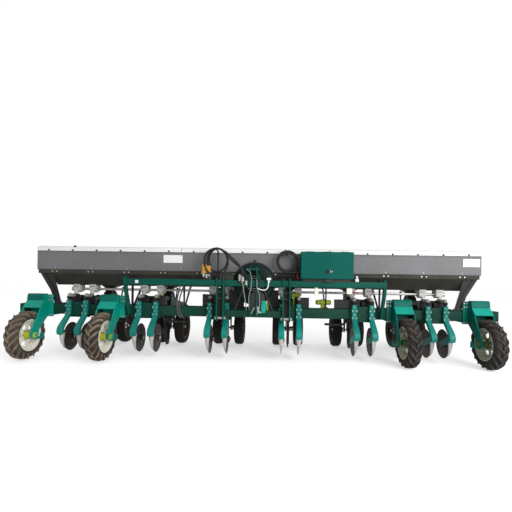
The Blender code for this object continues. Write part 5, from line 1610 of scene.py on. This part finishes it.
def knife(row):
    blade = [(0.500, 0.434), (0.610, 0.434), (0.612, 0.30), (0.620, 0.030), (0.600, 0.020), (0.565, 0.012),
             (0.530, 0.026), (0.515, 0.050), (0.502, 0.100), (0.495, 0.160), (0.497, 0.30)]
    shoe = [(0.512, 0.060), (0.500, 0.105), (0.488, 0.160), (0.490, 0.300), (0.500, 0.300), (0.503, 0.160),
            (0.520, 0.062)]
    return poured(plate(blade, about(row, 0.008)), plate(shoe, about(row, 0.014)),
                  plate([(0.560, 0.434), (0.612, 0.434), (0.616, 0.08), (0.590, 0.05)], about(row, 0.014)))


def press_leg(row):
    outline = [(0.700, 0.434), (0.820, 0.434), (0.806, 0.330), (0.790, 0.200)]
    for i in range(9):
        angle = math.radians(-10 - 160 * i / 8)
        outline.append((0.760 + 0.034 * math.cos(angle), 0.200 + 0.034 * math.sin(angle)))
    outline += [(0.728, 0.210), (0.714, 0.330)]
    return poured(*[plate(outline, (row + x, row + x + 0.0095)) for x in (-0.022, 0.0125)],
                  block(about(row, 0.0124), (0.715, 0.805), (0.31, 0.43)))


def depth_handle(row):
    bar = pipe([(row, 0.885, 0.452), (row, 0.900, 0.520), (row, 0.915, 0.575), (row + 0.004, 0.930, 0.625)],
               0.009, 14, 14)
    grip = cylinder((row + 0.0035, 0.926, 0.612), (row + 0.006, 0.940, 0.662), 0.014, 18, 0.003)
    quadrant = [(0.858, 0.449), (0.925, 0.449), (0.925, 0.50), (0.905, 0.525), (0.878, 0.525), (0.858, 0.50)]
    return poured(bar, grip, plate(quadrant, (row - 0.018, row - 0.012)),
                  plate(quadrant, (row + 0.012, row + 0.018)))


print("the sides of a row unit can be made")

# %% Six row units
UNIT_PARTS = (("meter", seed_meter, BLACK, 0.0), ("seed_tub", seed_tub, CHARCOAL, 0.0),
              ("seed_lid", seed_lid, BLACK, 0.0), ("knife", knife, DISC, 0.001),
              ("leg", press_leg, SHADED_DEEP_GREEN, 0.001), ("handle", depth_handle, BLACK, 0.0))
UNIT_BOLTS = ((REAR_Y, 0.400), (REAR_Y, 0.560), (0.56, 0.46), (0.72, 0.46), (0.86, 0.46))

for number, row in enumerate(ROWS, 1):
    body = f"row_unit_{number}"
    cheeks = finish_piece(f"{body}_cheeks", row_cheeks(row), SHADED_DEEP_GREEN, body, bevel=0.0015)
    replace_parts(cheeks, body)
    for part, shape, material, bevel in UNIT_PARTS:
        finish_piece(f"{body}_{part}", shape(row), material, body, bevel)
    heads = [(row + side * 0.082, *place) for side in (-1, 1) for place in UNIT_BOLTS]
    ways = [(side, 0, 0) for side in (-1, 1) for _ in UNIT_BOLTS]
    bolts(f"{body}_bolts", heads, ways, 0.009, 0.007, BOLT, body)
    clasp = block(about(row, 0.018), (SEED_Y[0] - 0.004, SEED_Y[0] + 0.0005), (0.895, 0.930))
    finish_piece(f"{body}_clasp", clasp, BOLT, body, bevel=0.001)
print("row units done")

# %% [markdown]
# ## Press wheels
# A pair of smooth tyres firms the soil beside the seed. The tread is rounded with one groove, and each tyre
# sits on a pressed rim, dark with dust, whose web is dished towards the middle.

# %% Press wheels
PRESS_Y = joints["press_wheels_1_spin"]["pos_m"][1] - BAR_Y
PRESS_R = joints["press_wheels_1_spin"]["pos_m"][2]
TYRE_FROM = 0.070
RIM_NUTS = 4


def press_tyre(x, side):
    profile = [(0.014, 0.135), (0.006, 0.150), (0.002, 0.168), (0.005, 0.181), (0.016, 0.191),
               (0.032, 0.1965), (0.044, 0.1995), (0.0465, 0.1945), (0.0635, 0.1945), (0.066, 0.1995),
               (0.078, 0.1965), (0.094, 0.191), (0.105, 0.181), (0.108, 0.168), (0.104, 0.150),
               (0.096, 0.135)]
    return turned([(side * (TYRE_FROM + along), r) for along, r in profile], (x, PRESS_Y, PRESS_R), sides=72)


def press_rim(x, side):
    profile = [(0.012, 0.136), (0.014, 0.148), (0.018, 0.148), (0.020, 0.136), (0.090, 0.136),
               (0.092, 0.148), (0.096, 0.148), (0.098, 0.136), (0.094, 0.130), (0.060, 0.129),
               (0.050, 0.110), (0.030, 0.060), (0.030, 0.032), (0.024, 0.032), (0.024, 0.062),
               (0.044, 0.112), (0.052, 0.129), (0.016, 0.130)]
    return turned([(side * (TYRE_FROM + along), r) for along, r in profile], (x, PRESS_Y, PRESS_R), sides=56)


def press_axle(x):
    profile = both_ways([(0.162, 0.0), (0.162, 0.010), (0.158, 0.014), (0.130, 0.014), (0.128, 0.035),
                         (0.066, 0.035), (0.062, 0.028), (0.028, 0.028), (0.0226, 0.020), (0.0226, 0.0108)])
    return turned(profile, (x, PRESS_Y, PRESS_R), sides=32)


for number, row in enumerate(ROWS, 1):
    body = f"press_wheels_{number}"
    tyres = finish_piece(f"{body}_tyres", [press_tyre(row, side) for side in (-1, 1)], DARK_TYRE, body,
                         sharp=30)
    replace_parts(tyres, body)
    finish_piece(f"{body}_rims", [press_rim(row, side) for side in (-1, 1)], DUSTY_RIM, body)
    finish_piece(f"{body}_axle", press_axle(row), STEEL, body)
    nuts, ways = [], []
    for side in (-1, 1):
        nuts += circle_of(RIM_NUTS, (row + side * 0.100, PRESS_Y, PRESS_R), 0.048, math.pi / RIM_NUTS)
        ways += [(side, 0, 0)] * RIM_NUTS
    bolts(f"{body}_nuts", nuts, ways, 0.007, 0.006, BOLT, body)
print("press wheels done")

# %% [markdown]
# ## Hooks, valve and small fittings
# The last things are the ones that make a working machine look used: the hooks that carry the cable and the
# hoses, the valve with its spools and brass block, bent pale pipes, boxes on the toolbar behind the shanks,
# drive motors, fittings along the rail and grey lines. They are pipes, turned fittings and plain blocks.

# %% Hooks, valve and brass block
coil_hook = [(0.315, -0.048, 1.0267), (0.315, -0.10, 1.0267), (0.315, -0.155, 1.0267),
             (0.315, -0.166, 1.038)]
hose_hook = [(-0.345, -0.159, 0.765), (-0.345, -0.159, 0.90), (-0.345, -0.159, 1.035),
             (-0.345, -0.175, 1.051), (-0.345, -0.22, 1.052), (-0.345, -0.262, 1.052),
             (-0.345, -0.268, 1.066)]
hooks = poured(pipe(coil_hook, 0.007, count=12), pipe(hose_hook, 0.007, count=30))
finish_piece("cord_hooks", hooks, BLACK)
valve = block((-0.475, -0.395), (-0.215, -0.157), (0.776, VALVE_TOP))
finish_piece("valve_block", valve, CHARCOAL, bevel=0.003)
spool_bank = []
for x in (-0.312, -0.284, -0.256, -0.228, -0.204):
    spool_bank.append(block(about(x, 0.011), (-0.200, -0.160), (0.776, 0.822)))
    spool_bank.append(turned([(0.0, 0.0), (0.0, 0.008), (0.022, 0.008), (0.026, 0.005), (0.026, 0.0)],
                             (x, -0.182, 0.822), "Z", 16))
finish_piece("valve_spools", spool_bank, DARK, bevel=0.001)
brass = [block((-0.484, -0.440), (-0.232, -0.2152), (0.835, 0.915)),
         block((-0.4405, -0.404), (-0.232, -0.2152), (0.840, 0.905)),
         turned([(0.0, 0.0), (0.0, 0.014), (0.020, 0.014), (0.020, 0.0)], (-0.462, -0.250, 0.880), "Y", 6)]
finish_piece("brass_manifold", brass, BRASS, bevel=0.003)
fittings = []
for x, z in ((-0.468, 0.800), (-0.440, 0.792), (-0.414, 0.806)):
    profile = [(0.0, 0.0), (0.0, 0.009), (0.018, 0.009), (0.020, 0.012), (0.034, 0.012), (0.034, 0.0)]
    fittings.append(turned(profile, (x, -0.228, z), "Z", 12))
finish_piece("valve_fittings", fittings, BOLT)
print("hooks and valve done")

# %% Pipes and connectors
pipes = [pipe([(-0.120, -0.240, 0.820), (-0.112, -0.241, 0.780), (-0.098, -0.240, 0.740),
               (-0.086, -0.238, 0.66), (-0.070, -0.232, 0.565), (-0.066, -0.208, 0.518),
               (-0.066, -0.188, 0.4905)], 0.004, count=40),
         pipe([(-0.062, -0.2465, 0.878), (-0.032, -0.249, 0.850), (-0.018, -0.249, 0.800),
               (-0.020, -0.249, 0.715), (-0.038, -0.247, 0.63), (-0.040, -0.245, 0.565),
               (-0.042, -0.212, 0.518), (-0.042, -0.188, 0.4905)], 0.003, count=46),
         pipe([(0.032, -0.247, 0.782), (0.034, -0.248, 0.74), (0.038, -0.248, 0.70), (0.056, -0.246, 0.65),
               (0.062, -0.244, 0.592), (0.060, -0.220, 0.53), (0.058, -0.188, 0.4905)], 0.0035, count=40)]
finish_piece("fan_pipes", pipes, PALE_HOSE)
lever = pipe([(0.040, -0.250, 0.702), (0.070, -0.252, 0.690), (0.105, -0.252, 0.686), (0.130, -0.252, 0.702),
              (0.140, -0.250, 0.735), (0.141, -0.248, 0.790)], 0.0048, count=30)
lever_head = poured(lever, block((0.124, 0.164), (-0.256, -0.240), (0.778, 0.800)),
                    block((0.134, 0.152), (-0.2405, RAIL_FACE), (0.756, 0.796)))
finish_piece("control_lever", lever_head, WHITE, bevel=0.002)
COUPLER = [(0.0, 0.0), (0.0, 0.010), (0.016, 0.010), (0.018, 0.013), (0.040, 0.013), (0.044, 0.009),
           (0.060, 0.009), (0.060, 0.0)]
couplers = [turned(COUPLER, (x, -0.238, z), "Z", 16) for x, z in ((-0.128, 0.768), (-0.106, 0.756))]
finish_piece("quick_couplers", couplers, BOLT)
holder = block((-0.146, -0.052), (-0.2248, RAIL_FACE), (0.748, 0.772))
finish_piece("coupler_holder", holder, DARK, bevel=0.0015)
def guard_part(low, high):
    """A slice of the round-topped belt guard between two places along X."""
    steps = 14
    middle, spring, radius = 0.038, 0.606, 0.071
    along = [low + (high - low) * i / steps for i in range(steps + 1)]
    top = [(x, spring + math.sqrt(max(radius ** 2 - (x - middle) ** 2, 0.0))) for x in reversed(along)]
    return front_plate([(low, 0.4905), (high, 0.4905)] + top, (-0.204, -0.166))


finish_piece("belt_guard", poured(guard_part(-0.0245, 0.0245), guard_part(0.0315, 0.108)), CHARCOAL,
             bevel=0.002)
FIT_Y = -0.2112
hitch_bits = [pipe([(0.036, FIT_Y, 0.456), (0.050, -0.2142, 0.530)], 0.0055),
              pipe([(0.030, -0.2128, 0.545), (0.058, FIT_Y, 0.466)], 0.0055),
              pipe([(0.034, FIT_Y, 0.500), (0.076, FIT_Y, 0.470)], 0.006),
              pipe([(-0.020, FIT_Y, 0.462), (0.012, -0.2122, 0.524)], 0.0055),
              turned(both_ways([(0.006, 0.0), (0.006, 0.013)]), (0.044, -0.2142, 0.512), "Y", 16)]
finish_piece("hitch_hardware", hitch_bits, BOLT)
tab = [(0.078, 0.470), (0.112, 0.470), (0.126, 0.530), (0.122, 0.584), (0.082, 0.584), (0.076, 0.535)]
finish_piece("bright_tab", front_plate(tab, (-0.2065, -0.2012)), BRIGHT, bevel=0.002)
bracket = block((0.632, 0.722), (-0.208, -0.152), (0.7755, 0.790))
finish_piece("box_bracket", bracket, BLACK, bevel=0.001)
square = block((-1.122, -1.092), (-0.2105, RAIL_FACE), (0.733, 0.760))
finish_piece("rail_marker", square, PLATE_WHITE)
print("pipes and connectors done")

# %% Boxes behind the shanks and the drive motors
boxes = []
for row in ROWS:
    for side, top in ((-1, 0.592), (1, 0.580)):
        x = row + side * 0.070
        boxes.append(block(about(x, 0.062), (0.004, 0.046), (0.512, top)))
        boxes.append(plate([(0.006, 0.592), (0.040, 0.592), (0.036, 0.612), (0.012, 0.612)],
                           about(x, 0.030)))
for x in ((-0.250, -0.105), (0.130, 0.235)):
    boxes.append(block(x, (-0.040, 0.0), (SEAT, 0.68)))
for low, high, top in ((-0.517, -0.372, 0.630), (0.412, 0.537, 0.612), (0.785, 0.944, 0.600),
                       (-1.010, -0.880, 0.606)):
    boxes.append(block((low, high), (-0.030, 0.0035), (SEAT, top)))
finish_piece("toolbar_boxes", boxes, BLACK, bevel=0.004)
motor = [turned(both_ways([(0.076, 0.0), (0.076, 0.016), (0.066, 0.024), (0.030, 0.024), (0.026, 0.030)]),
                (0.680, 0.0, 0.568), "X", 32),
         block((0.655, 0.705), (-0.022, 0.022), (SEAT, 0.552)),
         turned(both_ways([(0.046, 0.0), (0.046, 0.014), (0.038, 0.021)]), (0.405, 0.0, 0.632), "X", 24)]
motor += [block(about(x, 0.009), (-0.010, 0.014), (SEAT, 0.622)) for x in (0.388, 0.980, -0.930)]
finish_piece("drive_motor", motor, OIL_YELLOW, bevel=0.001)
tag = block((0.124, 0.142), (-0.1555, -0.1515), (0.470, 0.588))
finish_piece("hitch_tag", tag, YELLOW, bevel=0.001)
print("boxes and motors done")

# %% Fittings along the rail, grey lines and step bars
pale = [block((0.577, 0.603), (-0.190, -0.168), (0.640, 0.7175)),
        block((0.572, 0.608), (-0.194, -0.164), (0.655, 0.680)),
        block((0.872, 0.922), (-0.190, -0.168), (0.662, 0.7175))]
finish_piece("rail_fittings", pale, CREAM, bevel=0.002)
sockets = [block((0.950, 0.982), (-0.192, -0.162), (0.7745, 0.800)),
           cylinder((0.966, -0.177, 0.799), (0.966, -0.177, 0.829), 0.010, 16, 0.002)]
finish_piece("rail_sockets", sockets, WHITE, bevel=0.0015)
red_rod = cylinder((0.914, 0.0375, 0.668), (1.032, 0.0375, 0.668), 0.0062, 16, 0.001)
finish_piece("red_rod", red_rod, RED)
tails = []
for x, lean in ((-0.700, -0.050), (-0.668, -0.060)):
    tails.append(pipe([(x, -0.170, 0.722), (x + lean * 0.4, -0.140, 0.665), (x + lean, -0.095, 0.580),
                       (x + lean * 1.2, -0.064, 0.500), (x + lean, -0.0565, 0.440),
                       (x + lean * 0.5, -0.058, 0.395)], 0.0065, count=26))
finish_piece("toolbar_lines", tails, LINE_GREY)
steps = []
for row, side, reach in ((ROWS[1], 1, 0.34), (ROWS[4], -1, 0.34), (ROWS[5], -1, 0.40), (ROWS[0], 1, 0.36)):
    line = ((0.079, 0.128, 0.388), (0.110, 0.128, 0.382), (0.140, 0.122, 0.350), (0.170, 0.118, 0.338),
            (reach, 0.118, 0.338))
    steps.append(pipe([(row + side * out, y, z) for out, y, z in line], 0.012, count=20))
finish_piece("step_bars", steps, DARK)
print("fittings done")
